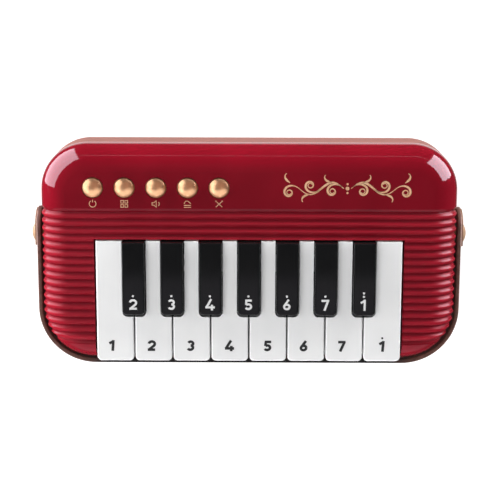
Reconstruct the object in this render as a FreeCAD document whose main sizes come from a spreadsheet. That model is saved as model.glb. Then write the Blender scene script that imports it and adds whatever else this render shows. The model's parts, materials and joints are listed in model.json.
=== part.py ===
import FreeCAD, Part
import math
import os
import Sketcher
from FreeCAD import Rotation, Vector

# Toy piano lying on its back with the keys up: X to the player's right, Y away from the player, Z up.
# Each piece is drawn about the middle of the case. CASE_Y then puts the middle of the whole, strap
# included, over the origin, with the feet standing on z = 0.

doc = FreeCAD.newDocument("toy_piano")
dims = doc.addObject("Spreadsheet::Sheet", "dims")

SIZES = {
    # case
    "cheek": 20.77,
    "panel_length": 36.0,
    "key_zone": 48.4,
    "front_depth": 17.5,
    "rear_depth": 17.5,
    "corner_far": 18.0,
    "corner_near": 20.0,
    "edge_radius": 10.0,
    "wall": 2.2,
    # reeding on the front shell
    "rib_inset_far": 25.5,
    "rib_inset_near": 8.24,
    "rib_depth": 0.85,
    "rib_shoulder": 1.5,
    "rib_crest_drop": 0.03,
    "rib_crest_round": 0.45,
    # keys
    "key_pitch": 14.72,
    "key_gap": 0.55,
    "key_setback": 0.6,
    "key_rise": 0.6,
    "key_lip": 9.0,
    "key_skin": 2.0,
    "key_corner": 1.7,
    "key_edge": 0.5,
    "sharp_width": 8.5,
    "sharp_gap": 0.4,
    "notch_gap": 0.7,
    "sharp_reach": 29.6,
    "sharp_rise": 3.0,
    "sharp_slope": 0.9,
    "sharp_tail": 5.7,
    "sharp_corner": 1.6,
    "sharp_edge": 0.7,
    "skirt": 1.5,
    # key pivot
    "pivot_behind": 5.6,
    "pivot_below": 6.0,
    "rod_diameter": 2.5,
    "rod_fit": 0.05,
    "rod_overhang": 1.0,
    "tail_wall": 1.15,
    "tail_gap": 0.6,
    # key bed
    "bed_below": 7.2,
    "bed_thick": 1.6,
    "bed_fit": 0.3,
    "bed_wall": 2.0,
    "bed_wall_height": 5.4,
    "post_thick": 1.1,
    "post_head": 2.3,
    "post_foot": 2.7,
    "ear_reach": 4.2,
    "ear_half": 4.0,
    # circuit board and its contact domes
    "board_thick": 1.6,
    "board_standoff": 1.0,
    "board_side": 0.7,
    "board_margin": 5.5,
    "board_near": 12.0,
    "board_gap": 1.5,
    "board_far": 4.5,
    "standoff_radius": 2.6,
    "chip_size": 12.0,
    "chip_offset": 14.0,
    "chip_thick": 1.4,
    "strip_thick": 0.7,
    "strip_edge": 0.6,
    "dome_row": 18.0,
    "dome_height": 3.8,
    "dome_foot": 2.8,
    "dome_top": 1.7,
    "dome_play": 0.1,
    "plunger_radius": 1.5,
    # push-buttons
    "button_inset_far": 16.0,
    "button_inset_side": 20.73,
    "button_pitch": 12.0,
    "button_diameter": 7.3,
    "button_gap": 0.4,
    "button_side": 0.5,
    "button_crown": 1.7,
    "button_flange": 1.4,
    "flange_thick": 1.0,
    "button_play": 0.3,
    "stem_radius": 2.0,
    # strap and studs
    "strap_width": 15.0,
    "strap_thick": 1.6,
    "strap_gap_side": 0.7,
    "strap_gap_near": 1.4,
    "strap_inset": 36.4,
    "strap_end": 10.3,
    "tab_thick": 0.7,
    "tab_reach": 3.9,
    "stud_radius": 2.5,
    "stud_fit": 0.05,
    "stud_flange": 1.8,
    "stud_flange_thick": 1.5,
    "cap_radius": 4.0,
    "cap_rim": 0.4,
    "cap_crown": 1.5,
    "cap_play": 0.15,
    "eyelet_wall": 0.9,
    "eyelet_fit": 0.1,
    # speaker
    "speaker_inset": 36.0,
    "speaker_y": 2.0,
    "speaker_radius": 20.0,
    "speaker_fit": 0.3,
    "speaker_ring": 1.4,
    "speaker_ring_height": 3.0,
    "rim_width": 2.8,
    "rim_thick": 1.2,
    "basket_top": 11.5,
    "basket_height": 8.0,
    "basket_thick": 1.0,
    "coil_radius": 3.6,
    "cone_depth": 4.5,
    "cone_thick": 0.5,
    "magnet_radius": 11.0,
    "magnet_thick": 4.0,
    "slot_width": 1.8,
    "slot_pitch": 4.0,
    "grille_radius": 15.5,
    # batteries
    "bay_y": 3.0,
    "bay_wall": 1.4,
    "cell_radius": 5.25,
    "cell_length": 44.5,
    "cell_gap": 0.5,
    "nub_radius": 1.9,
    "nub_length": 1.0,
    "cell_play": 0.3,
    "contact_thick": 0.5,
    "contact_height": 8.0,
    "cover_thick": 2.0,
    "cover_ledge": 2.0,
    "cover_tab": 9.0,
    "cover_inset": 20.75,
    "cover_fit": 0.2,
    "cover_corner": 3.0,
    # screws, leads and feet
    "screw_radius": 1.3,
    "screw_fit": 0.1,
    "screw_head": 2.4,
    "screw_head_thick": 1.8,
    "screw_grip": 4.0,
    "screw_bite": 8.0,
    "boss_wall": 1.7,
    "screw_inset_side": 10.5,
    "screw_inset_corner": 24.0,
    "screw_inset_far": 7.0,
    "screw_inset_near": 26.0,
    "bore_spare": 1.0,
    "small_radius": 1.0,
    "small_head": 2.0,
    "small_head_thick": 1.3,
    "small_bite": 5.0,
    "cover_bite": 7.0,
    "lead_radius": 0.6,
    "foot_radius": 4.0,
    "foot_proud": 1.0,
    "foot_sunk": 0.6,
    "foot_inset": 16.0,
    # how far a cutting tool runs past the face that it cuts
    "overcut": 1.0,
}
for row, (alias, number) in enumerate(SIZES.items(), start=1):
    dims.set(f"A{row}", alias)
    dims.set(f"B{row}", str(number))
    dims.setAlias(f"B{row}", alias)
doc.recompute()

# counts
WHITE_KEYS = 8
BLACK_KEYS = WHITE_KEYS - 1
GROOVES = 18
SECTION_STEPS = 6
FLANK_STEPS = 2
CELLS = 3
SLOTS = 7
BUTTONS = ["power_button", "tone_button", "volume_button", "demo_button", "rhythm_button"]

# places worked out from the sheet, as expressions
WINDOW_X = f"({WHITE_KEYS} * dims.key_pitch / 2 + dims.key_gap)"
HALF_X = f"({WINDOW_X} + dims.cheek)"
HALF_Y = "((dims.panel_length + dims.key_zone) / 2)"
BIG_X = f"(2 * {HALF_X})"
BIG_Y = f"(2 * {HALF_Y})"
WINDOW_FAR = f"({HALF_Y} - dims.panel_length)"
RIB_FIRST = f"({HALF_Y} - dims.rib_inset_far)"
RIB_LAST = f"(dims.rib_inset_near - {HALF_Y})"
CASE_Y = "(dims.strap_gap_near + dims.strap_thick) / 2"
PART_Z = "(dims.foot_proud + dims.rear_depth)"
FRONT_Z = f"({PART_Z} + dims.front_depth)"
PANEL_Z = f"({FRONT_Z} - dims.wall)"
FLOOR_Z = "(dims.foot_proud + dims.wall)"
KEY_TOP = f"({FRONT_Z} + dims.key_rise)"
KEY_FRONT = f"(dims.key_setback - {HALF_Y})"
KEY_FAR = f"({WINDOW_FAR} - dims.key_gap)"
PIVOT_Y = f"({WINDOW_FAR} + dims.pivot_behind)"
PIVOT_Z = f"({FRONT_Z} - dims.pivot_below)"
BORE_RADIUS = "(dims.rod_diameter / 2 + dims.rod_fit)"
TAIL_FAR = f"({PIVOT_Y} + {BORE_RADIUS} + dims.tail_wall)"
TAIL_UNDER = f"({PIVOT_Z} - {BORE_RADIUS} - dims.tail_wall)"
TAIL_TOP = f"({PANEL_Z} - dims.tail_gap)"
NECK_X = "(dims.key_pitch / 2 - dims.sharp_width / 2 - dims.sharp_gap)"
SHARP_FRONT = f"({WINDOW_FAR} - dims.sharp_reach)"
END_POST_X = f"({WHITE_KEYS - 1} * dims.key_pitch / 2 + {NECK_X} + dims.sharp_gap + dims.post_thick / 2)"
POST_OFFSET = f"({NECK_X} + (dims.key_pitch / 2 - dims.sharp_tail / 2 - {NECK_X}) / 2)"
BED_TOP = f"({PIVOT_Z} - dims.bed_below)"
BED_UNDER = f"({BED_TOP} - dims.bed_thick)"
BED_X = f"({WINDOW_X} - dims.bed_fit)"
BED_FAR = f"({PIVOT_Y} + dims.ear_half)"
EAR_X = f"({WINDOW_X} + dims.skirt + dims.ear_reach)"
BOARD_TOP = f"({BED_UNDER} - dims.board_standoff)"
BOARD_UNDER = f"({BOARD_TOP} - dims.board_thick)"
BUTTON_X = f"({HALF_X} - dims.button_inset_side)"
BUTTON_Y = f"({HALF_Y} - dims.button_inset_far)"
BOARD_FAR = f"({BUTTON_Y} + dims.board_far)"
BOARD_X = f"({BUTTON_X} + dims.board_margin)"
DOME_Y = f"({PIVOT_Y} - dims.dome_row)"
DOME_Z = f"({BOARD_TOP} + dims.dome_height)"
BUTTON_RADIUS = "(dims.button_diameter / 2)"
STRAP_Y = f"({HALF_Y} - dims.strap_inset)"
STRAP_IN_X = f"({HALF_X} + dims.strap_gap_side)"
STRAP_IN_Y = f"({HALF_Y} + dims.strap_gap_near)"
STRAP_OUT_X = f"({STRAP_IN_X} + dims.strap_thick)"
TAB_OUT_X = f"({STRAP_OUT_X} + dims.tab_thick)"
EYELET_RADIUS = "(dims.stud_radius + dims.eyelet_fit + dims.eyelet_wall)"
SPEAKER_X = f"(dims.speaker_inset - {HALF_X})"
BAY_LENGTH = "(dims.cell_length + dims.nub_length + 2 * dims.contact_thick)"
RIM_TOP = f"({FLOOR_Z} + dims.rim_thick)"
RIM_INSIDE = "(dims.speaker_radius - dims.rim_width)"
BASKET_TOP = f"({FLOOR_Z} + dims.basket_height)"
CELL_PITCH = "(2 * dims.cell_radius + dims.cell_gap)"
BAY_WIDTH = f"({CELLS - 1} * {CELL_PITCH} + 2 * dims.cell_radius + 2 * dims.cell_play)"
BAY_TOP = "(dims.foot_proud + dims.cover_thick + 2 * dims.cell_radius + 2 * dims.cell_play)"
CELL_Z = "(dims.foot_proud + dims.cover_thick + dims.cell_radius + dims.cell_play)"
COVER_HIGH_X = f"({HALF_X} - dims.cover_inset)"
BAY_HIGH_X = f"({COVER_HIGH_X} - dims.cover_tab)"
BAY_LOW_X = f"({BAY_HIGH_X} - {BAY_LENGTH})"
COVER_LOW_X = f"({BAY_LOW_X} - dims.cover_ledge)"
COVER_Y = f"({BAY_WIDTH} / 2 + dims.cover_ledge)"
COVER_SCREW_X = f"({BAY_HIGH_X} + dims.cover_tab / 2)"
SCREW_BORE = "(dims.screw_radius + dims.screw_fit)"
HEAD_BORE = "(dims.screw_head + dims.screw_fit)"
BOSS_RADIUS = f"({SCREW_BORE} + dims.boss_wall)"
SEAT_Z = f"({PART_Z} - dims.screw_grip)"
SMALL_BORE = "(dims.small_radius + dims.screw_fit)"
SMALL_BOSS = f"({SMALL_BORE} + dims.boss_wall)"

TOUCH = 1e-6
ALONG_X = Rotation(Vector(0, 1, 0), 90)

nodes = []


def val(expression):
    """Number that an expression on the sheet comes to."""
    return float(dims.evalExpression(expression))


def node(piece, label, y="0"):
    """Name a finished piece, drawn about its own y, and set it where the whole object's frame has it."""
    piece.Label = label
    piece.setExpression("Placement.Base.y", f"{CASE_Y} + {y}")
    nodes.append(piece)
    return piece


def plane_of(body, role):
    return next(item for item in body.Origin.OriginFeatures if item.Role == role)


def attached_sketch(body, label, role, offset):
    sketch = body.newObject("Sketcher::SketchObject", label)
    sketch.AttachmentSupport = [(plane_of(body, role), "")]
    sketch.MapMode = "FlatFace"
    sketch.setExpression("AttachmentOffset.Base.z", offset)
    return sketch


def tie(sketch, kind, geometry, point, expression):
    """Hold one coordinate of a sketch point at a value from the sheet."""
    index = sketch.addConstraint(Sketcher.Constraint(kind, -1, 1, geometry, point, val(expression)))
    sketch.setExpression(f"Constraints[{index}]", expression)


def draw(body, label, role, corners, offset="0", arcs=None):
    """Closed outline, counter-clockwise, through corners given as pairs of expressions.

    arcs maps the number of a side to the radius of the outward arc that replaces it.
    """
    arcs = arcs or {}
    sketch = attached_sketch(body, label, role, offset)
    points = [Vector(val(u), val(v), 0) for u, v in corners]
    for i, start in enumerate(points):
        end = points[(i + 1) % len(points)]
        if i in arcs:
            chord = end - start
            radius = val(arcs[i])
            rise = radius - math.sqrt(radius**2 - (chord.Length / 2) ** 2)
            outward = Vector(chord.y, -chord.x, 0).normalize()
            sketch.addGeometry(Part.Arc(start, (start + end) / 2 + outward * rise, end))
        else:
            sketch.addGeometry(Part.LineSegment(start, end))
    for i in range(len(points)):
        sketch.addConstraint(Sketcher.Constraint("Coincident", i, 2, (i + 1) % len(points), 1))
    for i, (u, v) in enumerate(corners):
        tie(sketch, "DistanceX", i, 1, u)
        tie(sketch, "DistanceY", i, 1, v)
    for i, radius in arcs.items():
        index = sketch.addConstraint(Sketcher.Constraint("Radius", i, val(radius)))
        sketch.setExpression(f"Constraints[{index}]", radius)
    return sketch


def rectangle(u0, u1, v0, v1):
    return [(u0, v0), (u1, v0), (u1, v1), (u0, v1)]


def draw_circle(body, label, role, u, v, radius, offset="0"):
    sketch = attached_sketch(body, label, role, offset)
    sketch.addGeometry(Part.Circle(Vector(val(u), val(v), 0), Vector(0, 0, 1), val(radius)))
    tie(sketch, "DistanceX", 0, 3, u)
    tie(sketch, "DistanceY", 0, 3, v)
    index = sketch.addConstraint(Sketcher.Constraint("Radius", 0, val(radius)))
    sketch.setExpression(f"Constraints[{index}]", radius)
    return sketch


def pad(body, sketch, length, reverse=False, symmetric=False):
    feature = body.newObject("PartDesign::Pad", f"{sketch.Label}_pad")
    feature.Profile = sketch
    feature.setExpression("Length", length)
    feature.Reversed = reverse
    if symmetric:
        feature.SideType = "Symmetric"
    return feature


def pocket(body, sketch, length=None, reverse=False, symmetric=False):
    """Cut a sketch's outline out of the body, by a length or right through."""
    doc.recompute()
    before = body.Tip.Shape.Volume
    feature = body.newObject("PartDesign::Pocket", f"{sketch.Label}_pocket")
    feature.Profile = sketch
    if symmetric:
        feature.SideType = "Symmetric"
    if length is None:
        feature.Type = "ThroughAll"
    else:
        feature.setExpression("Length", length)
    feature.Reversed = reverse
    doc.recompute()
    if feature.Shape.Volume > before - TOUCH:
        raise RuntimeError(f"{feature.Label} cuts nothing")
    return feature


def revolve(body, sketch, axis):
    feature = body.newObject("PartDesign::Revolution", f"{sketch.Label}_turned")
    feature.Profile = sketch
    feature.ReferenceAxis = (sketch, [axis])
    feature.Angle = 360
    return feature


def round_edges(body, radius, chosen):
    """Fillet the edges of the body's last feature that a test picks."""
    doc.recompute()
    base = body.Tip
    names = [f"Edge{i}" for i, edge in enumerate(base.Shape.Edges, start=1) if chosen(edge)]
    feature = body.newObject("PartDesign::Fillet", f"{body.Label}_round")
    feature.Base = (base, names)
    feature.setExpression("Radius", radius)
    doc.recompute()
    return feature


def pattern(body, feature, axis_role, spacing, count):
    """Repeat a feature along one of the body's axes."""
    row_of = body.newObject("PartDesign::LinearPattern", f"{feature.Label}_row")
    row_of.Originals = [feature]
    row_of.Direction = (plane_of(body, axis_role), [""])
    row_of.setExpression("Length", f"{count - 1} * {spacing}")
    row_of.Occurrences = count
    body.Tip = row_of
    doc.recompute()
    return row_of


def upright(edge):
    first, last = edge.Vertexes[0].Point, edge.Vertexes[-1].Point
    level = math.hypot(first.x - last.x, first.y - last.y)
    return level < TOUCH < abs(first.z - last.z)


def level_at(edge, height):
    return all(abs(vertex.Z - height) < TOUCH for vertex in edge.Vertexes)


def block(label, x0, x1, y0, y1, z0, z1):
    box = doc.addObject("Part::Box", label)
    for side, low, high in (("Length", x0, x1), ("Width", y0, y1), ("Height", z0, z1)):
        box.setExpression(side, f"({high}) - ({low})")
    place(box, x0, y0, z0)
    return box


def place(piece, x="0", y="0", z="0", turn=None):
    if turn:
        piece.Placement = FreeCAD.Placement(Vector(), turn)
    for axis, expression in (("x", x), ("y", y), ("z", z)):
        piece.setExpression(f"Placement.Base.{axis}", expression)


def post(label, radius, x, y, z0, z1):
    """Upright cylinder."""
    cylinder = doc.addObject("Part::Cylinder", label)
    cylinder.setExpression("Radius", radius)
    cylinder.setExpression("Height", f"({z1}) - ({z0})")
    place(cylinder, x, y, z0)
    return cylinder


def axle(label, radius, x0, x1, y, z):
    """Cylinder along X."""
    cylinder = doc.addObject("Part::Cylinder", label)
    cylinder.setExpression("Radius", radius)
    cylinder.setExpression("Height", f"({x1}) - ({x0})")
    place(cylinder, x0, y, z, ALONG_X)
    return cylinder


def joined(label, pieces):
    whole = doc.addObject("Part::MultiFuse", label)
    whole.Shapes = pieces
    return whole


def group(label, pieces):
    """Separate solids that share one node."""
    whole = doc.addObject("Part::Compound", label)
    whole.Links = pieces
    return whole


def cut(label, base, tools):
    result = doc.addObject("Part::Cut", label)
    result.Base = base
    result.Tool = tools[0] if len(tools) == 1 else joined(f"{label}_tools", tools)
    return result


def common(label, first, second):
    result = doc.addObject("Part::MultiCommon", label)
    result.Shapes = [first, second]
    return result


# Case shells

def pillow(label, depth, inset, upward):
    """Rounded block from the parting plane to one face of the case, drawn in by inset."""
    body = doc.addObject("PartDesign::Body", label)
    x = f"({HALF_X} - {inset})"
    y = f"({HALF_Y} - {inset})"
    outline = draw(body, f"{label}_outline", "XY_Plane", rectangle(f"-{x}", x, f"-{y}", y), PART_Z)
    pad(body, outline, depth, reverse=not upward)
    round_edges(body, f"dims.corner_far - {inset}", lambda e: upright(e) and e.CenterOfMass.y > 0)
    round_edges(body, f"dims.corner_near - {inset}", lambda e: upright(e) and e.CenterOfMass.y < 0)
    face = val(PART_Z) + val(depth) * (1 if upward else -1)
    round_edges(body, f"dims.edge_radius - {inset}", lambda e: level_at(e, face))
    return body


def case_section(y, inset):
    """Closed outline of the front shell's blank across the case at y, drawn in by inset."""
    corner = val("dims.corner_near" if y < 0 else "dims.corner_far")
    ring = corner - val("dims.edge_radius")
    reach = val("dims.edge_radius") - inset
    round_by = max(0.0, abs(y) - val(HALF_Y) + corner)
    middle_x = val(HALF_X) - corner
    edge_z = val(FRONT_Z) - val("dims.edge_radius")
    start = middle_x + math.sqrt(max(0.0, ring**2 - round_by**2))
    end = middle_x + math.sqrt((ring + reach) ** 2 - round_by**2)
    curve_points = []
    for i in range(SECTION_STEPS + 1):
        x = start + (end - start) * math.sin(math.pi / 2 * i / SECTION_STEPS)
        out = math.hypot(x - middle_x, round_by) - ring
        curve_points.append(Vector(x, y, edge_z + math.sqrt(max(0.0, reach**2 - max(0.0, out) ** 2))))
    curve_points[-1].z = edge_z
    shoulder = Part.BSplineCurve()
    shoulder.interpolate(
        Points=curve_points,
        Parameters=[i / SECTION_STEPS for i in range(SECTION_STEPS + 1)],
        InitialTangent=Vector(1, 0, 0),
        FinalTangent=Vector(0, 0, -1),
    )
    right = shoulder.toShape()
    left = right.mirror(Vector(0, 0, 0), Vector(1, 0, 0))
    foot = Vector(end, y, val(PART_Z))
    mirrored = [Vector(-p.x, p.y, p.z) for p in (curve_points[0], curve_points[-1], foot)]
    edges = [
        Part.makeLine(mirrored[0], curve_points[0]),
        right,
        Part.makeLine(curve_points[-1], foot),
        Part.makeLine(foot, mirrored[2]),
        Part.makeLine(mirrored[2], mirrored[1]),
        left,
    ]
    return Part.Wire(Part.__sortEdges__(edges))


def rib_part(crest, half_width, first, last):
    """Solid slice of a rib: a rounded crest with flanks that fall by the rib depth over half_width.

    first and last give the slice as shares of half_width from the crest.
    """
    rounding = val("dims.rib_crest_round")
    fall = val("dims.rib_depth") / (math.hypot(half_width, rounding) - rounding)
    steps = FLANK_STEPS * (last - first)
    sections = []
    for i in range(steps + 1):
        away = half_width * (first + (last - first) * i / steps)
        inset = val("dims.rib_crest_drop") + fall * (math.hypot(away, rounding) - rounding)
        sections.append(case_section(crest + away, inset))
    return Part.makeLoft(sections, True, False)


def reeding():
    """All ribs, from the first groove's far shoulder to the last groove's near one."""
    first = val(RIB_FIRST)
    pitch = (first - val(RIB_LAST)) / (GROOVES - 1)
    grooves = [first - pitch * i for i in range(GROOVES)]
    shoulder = val("dims.rib_shoulder")
    ribs = [rib_part(groove - pitch / 2, pitch / 2, -1, 1) for groove in grooves[:-1]]
    ribs.append(rib_part(grooves[-1] - shoulder, shoulder, 0, 1))
    ribs.append(rib_part(grooves[0] + shoulder, shoulder, -1, 0))
    return ribs


def case_screw_places():
    corner = f"({HALF_X} - dims.screw_inset_corner)"
    far = f"({HALF_Y} - dims.screw_inset_far)"
    side = f"({HALF_X} - dims.screw_inset_side)"
    near = f"(dims.screw_inset_near - {HALF_Y})"
    return [(f"-{corner}", far), ("0", far), (corner, far), (f"-{side}", near), (side, near)]


def bed_screw_places():
    x = f"({EAR_X} - {SMALL_BOSS})"
    return [(f"-{x}", PIVOT_Y), (x, PIVOT_Y)]


def stud_seat(label, side):
    """Round passage through one side wall, where a stud's shank is held between the shells."""
    reach = f"({HALF_X} + dims.overcut)"
    inner = f"({HALF_X} - 2 * dims.wall)"
    low, high = (f"-{reach}", f"-{inner}") if side < 0 else (inner, reach)
    return axle(label, "dims.stud_radius + dims.stud_fit", low, high, STRAP_Y, PART_Z)


def button_x(index):
    return f"({index} * dims.button_pitch - {BUTTON_X})"


def front_shell():
    blank = pillow("front_blank", "dims.front_depth", "0", True)
    zone = block("reeding_zone", f"-{BIG_X}", BIG_X, f"{RIB_LAST} - dims.rib_shoulder",
                 f"{RIB_FIRST} + dims.rib_shoulder", PART_Z, f"{FRONT_Z} + dims.overcut")
    plain = cut("front_plain", blank, [zone])
    doc.recompute()
    outer = doc.addObject("Part::Feature", "front_outer")
    outer.Shape = plain.Shape.multiFuse(reeding()).removeSplitter().Solids[0]
    cavity = pillow("front_cavity", "(dims.front_depth - dims.wall)", "dims.wall", True)
    kept = []
    for sign, side in (("-", "left"), ("", "right")):
        x0, x1 = f"{WINDOW_X}", f"({WINDOW_X} + dims.skirt)"
        low, high = (f"-{x1}", f"-{x0}") if sign else (x0, x1)
        kept.append(block(f"{side}_skirt", low, high, f"-{BIG_Y}", WINDOW_FAR, PART_Z, FRONT_Z))
    for i, (x, y) in enumerate(case_screw_places()):
        kept.append(post(f"front_boss_{i}", BOSS_RADIUS, x, y, PART_Z, FRONT_Z))
    for i, (x, y) in enumerate(bed_screw_places()):
        kept.append(post(f"bed_boss_{i}", SMALL_BOSS, x, y, BED_TOP, FRONT_Z))
    hollow = cut("front_hollow", outer, [cut("front_room", cavity, kept)])
    window = block("key_window", f"-{WINDOW_X}", WINDOW_X, f"-{BIG_Y}", WINDOW_FAR,
                   f"{PART_Z} - dims.overcut", f"{FRONT_Z} + dims.overcut")
    openings = [window, stud_seat("left_front_seat", -1), stud_seat("right_front_seat", 1)]
    for i in range(len(BUTTONS)):
        openings.append(post(f"button_hole_{i}", f"{BUTTON_RADIUS} + dims.button_gap", button_x(i),
                             BUTTON_Y, f"{PANEL_Z} - dims.overcut", f"{FRONT_Z} + dims.overcut"))
    for i, (x, y) in enumerate(case_screw_places()):
        openings.append(post(f"front_bore_{i}", SCREW_BORE, x, y, f"{PART_Z} - dims.overcut",
                             f"{PART_Z} + dims.screw_bite + dims.bore_spare"))
    for i, (x, y) in enumerate(bed_screw_places()):
        openings.append(post(f"bed_bore_{i}", SMALL_BORE, x, y, f"{BED_TOP} - dims.overcut",
                             f"{BED_TOP} + dims.small_bite + dims.bore_spare"))
    return node(cut("front_shell_piece", hollow, openings), "front_shell")


def foot_places():
    x = f"({HALF_X} - dims.foot_inset)"
    y = f"({HALF_Y} - dims.foot_inset)"
    return [(f"-{x}", f"-{y}"), (x, f"-{y}"), (f"-{x}", y), (x, y)]


def grille():
    """Sound slots within a circle, through the rear wall."""
    bars = []
    for i in range(SLOTS):
        y = f"(dims.speaker_y + {i - SLOTS // 2} * dims.slot_pitch)"
        bars.append(block(f"slot_{i}", f"{SPEAKER_X} - dims.grille_radius",
                          f"{SPEAKER_X} + dims.grille_radius", f"{y} - dims.slot_width / 2",
                          f"{y} + dims.slot_width / 2", "0", f"{FLOOR_Z} + dims.overcut"))
    disc = post("grille_disc", "dims.grille_radius", SPEAKER_X, "dims.speaker_y", "0",
                f"{FLOOR_Z} + dims.overcut")
    return common("grille", joined("slots", bars), disc)


def rounded_plate(label, x0, x1, y0, y1, z0, thick, corner):
    body = doc.addObject("PartDesign::Body", label)
    pad(body, draw(body, f"{label}_outline", "XY_Plane", rectangle(x0, x1, y0, y1), z0), thick)
    round_edges(body, corner, upright)
    return body


def rear_shell():
    outer = pillow("rear_outer", "dims.rear_depth", "0", False)
    cavity = pillow("rear_cavity", "(dims.rear_depth - dims.wall)", "dims.wall", False)
    bay_y = f"({BAY_WIDTH} / 2 + dims.bay_wall)"
    kept = [block("bay_walls", f"{BAY_LOW_X} - dims.bay_wall", f"{BAY_HIGH_X} + dims.bay_wall",
                  f"dims.bay_y - {bay_y}", f"dims.bay_y + {bay_y}", "0", f"{BAY_TOP} + dims.bay_wall")]
    ledge = rounded_plate("cover_seat", f"{COVER_LOW_X} - dims.bay_wall", f"{COVER_HIGH_X} + dims.bay_wall",
                          f"dims.bay_y - {COVER_Y} - dims.bay_wall", f"dims.bay_y + {COVER_Y} + dims.bay_wall",
                          "dims.foot_proud", "dims.cover_thick + dims.bay_wall", "dims.cover_corner")
    kept.append(ledge)
    kept.append(post("cover_boss", BOSS_RADIUS, COVER_SCREW_X, "dims.bay_y", "dims.foot_proud",
                     "dims.foot_proud + dims.cover_thick + dims.cover_bite + dims.bay_wall"))
    locating = "dims.speaker_radius + dims.speaker_fit"
    ring_top = f"{FLOOR_Z} + dims.speaker_ring_height"
    ring = cut("speaker_ring", post("ring_outside", f"{locating} + dims.speaker_ring", SPEAKER_X,
                                    "dims.speaker_y", "dims.foot_proud", ring_top),
               [post("ring_inside", locating, SPEAKER_X, "dims.speaker_y", "0", f"{ring_top} + dims.overcut")])
    kept.append(ring)
    for i, (x, y) in enumerate(case_screw_places()):
        kept.append(post(f"rear_boss_{i}", f"{HEAD_BORE} + dims.boss_wall", x, y, "0", PART_Z))
    hollow = cut("rear_hollow", outer, [cut("rear_room", cavity, kept)])
    recess = rounded_plate("cover_recess", f"{COVER_LOW_X} - dims.cover_fit", f"{COVER_HIGH_X} + dims.cover_fit",
                           f"dims.bay_y - {COVER_Y} - dims.cover_fit", f"dims.bay_y + {COVER_Y} + dims.cover_fit",
                           "0", "dims.foot_proud + dims.cover_thick", "dims.cover_corner")
    openings = [recess, grille(), stud_seat("left_rear_seat", -1), stud_seat("right_rear_seat", 1)]
    openings.append(block("bay_room", BAY_LOW_X, BAY_HIGH_X, f"dims.bay_y - {BAY_WIDTH} / 2",
                          f"dims.bay_y + {BAY_WIDTH} / 2", "0", BAY_TOP))
    openings.append(post("cover_bore", SCREW_BORE, COVER_SCREW_X, "dims.bay_y", "0",
                         "dims.foot_proud + dims.cover_thick + dims.cover_bite"))
    for i, (x, y) in enumerate(battery_lead_places()):
        openings.append(post(f"lead_hole_{i}", "dims.lead_radius + dims.screw_fit", x, y, f"{BAY_TOP} - dims.overcut",
                             f"{BAY_TOP} + dims.bay_wall + dims.overcut"))
    for i, (x, y) in enumerate(case_screw_places()):
        openings.append(post(f"head_bore_{i}", HEAD_BORE, x, y, "0", SEAT_Z))
        openings.append(post(f"rear_bore_{i}", SCREW_BORE, x, y, "0", f"{PART_Z} + dims.overcut"))
    for i, (x, y) in enumerate(foot_places()):
        openings.append(post(f"foot_recess_{i}", "dims.foot_radius", x, y, "0", "dims.foot_proud + dims.foot_sunk"))
    return node(cut("rear_shell_piece", hollow, openings), "rear_shell")


# Key bed and pivot rod

def rod_post(body, label, x):
    """Upright that carries the pivot rod, standing on the bed."""
    half = "dims.post_thick / 2"
    outline = draw(body, label, "XY_Plane", rectangle(f"{x} - {half}", f"{x} + {half}",
                                                      f"{PIVOT_Y} - dims.post_foot", f"{PIVOT_Y} + dims.post_foot"),
                   f"{BED_TOP}")
    return pad(body, outline, f"{PIVOT_Z} + dims.post_head - {BED_TOP}")


def standoff_places():
    x = f"({BED_X} - 2 * dims.standoff_radius)"
    near = f"({DOME_Y} - dims.board_near)"
    return [(f"-{x}", near), (x, near), (f"-{x}", PIVOT_Y), (x, PIVOT_Y)]


def key_bed():
    body = doc.addObject("PartDesign::Body", "key_bed_body")
    near = f"-{HALF_Y}"
    ears = f"({PIVOT_Y} - dims.ear_half)"
    corners = [
        (f"-{BED_X}", near), (BED_X, near), (BED_X, ears), (EAR_X, ears), (EAR_X, BED_FAR),
        (f"-{EAR_X}", BED_FAR), (f"-{EAR_X}", ears), (f"-{BED_X}", ears),
    ]
    pad(body, draw(body, "bed_plate", "XY_Plane", corners, BED_UNDER), "dims.bed_thick")
    wall = draw(body, "bed_near_wall", "XY_Plane",
                rectangle(f"-{BED_X}", BED_X, near, f"{near} + dims.bed_wall"), PART_Z)
    pad(body, wall, "dims.bed_wall_height")
    rod_post(body, "left_post", f"-{END_POST_X}")
    rod_post(body, "right_post", END_POST_X)
    inner = rod_post(body, "inner_post", f"({POST_OFFSET} - {WHITE_KEYS - 1} * dims.key_pitch / 2)")
    pattern(body, inner, "X_Axis", "dims.key_pitch", BLACK_KEYS)
    for i, (x, y) in enumerate(standoff_places()):
        pad(body, draw_circle(body, f"standoff_{i}", "XY_Plane", x, y, "dims.standoff_radius", BOARD_TOP),
            "dims.board_standoff + dims.bed_thick / 2")
        pocket(body, draw_circle(body, f"board_bore_{i}", "XY_Plane", x, y, SMALL_BORE, BOARD_TOP),
               "dims.board_standoff + dims.bed_thick + dims.overcut", reverse=True)
    for i, (x, y) in enumerate(bed_screw_places()):
        pocket(body, draw_circle(body, f"ear_hole_{i}", "XY_Plane", x, y, SMALL_BORE, f"{BED_TOP} + dims.overcut"))
    slot_y = "(dims.dome_foot + 2 * dims.strip_edge)"
    slot_x = f"({WHITE_KEYS - 1} * dims.key_pitch / 2 + {slot_y})"
    slot = draw(body, "dome_slot", "XY_Plane",
                rectangle(f"-{slot_x}", slot_x, f"{DOME_Y} - {slot_y}", f"{DOME_Y} + {slot_y}"),
                f"{BED_TOP} + dims.overcut")
    pocket(body, slot, "dims.bed_thick + 2 * dims.overcut")
    pocket(body, draw_circle(body, "rod_holes", "YZ_Plane", PIVOT_Y, PIVOT_Z, BORE_RADIUS), symmetric=True)
    return node(body, "key_bed")


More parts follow.
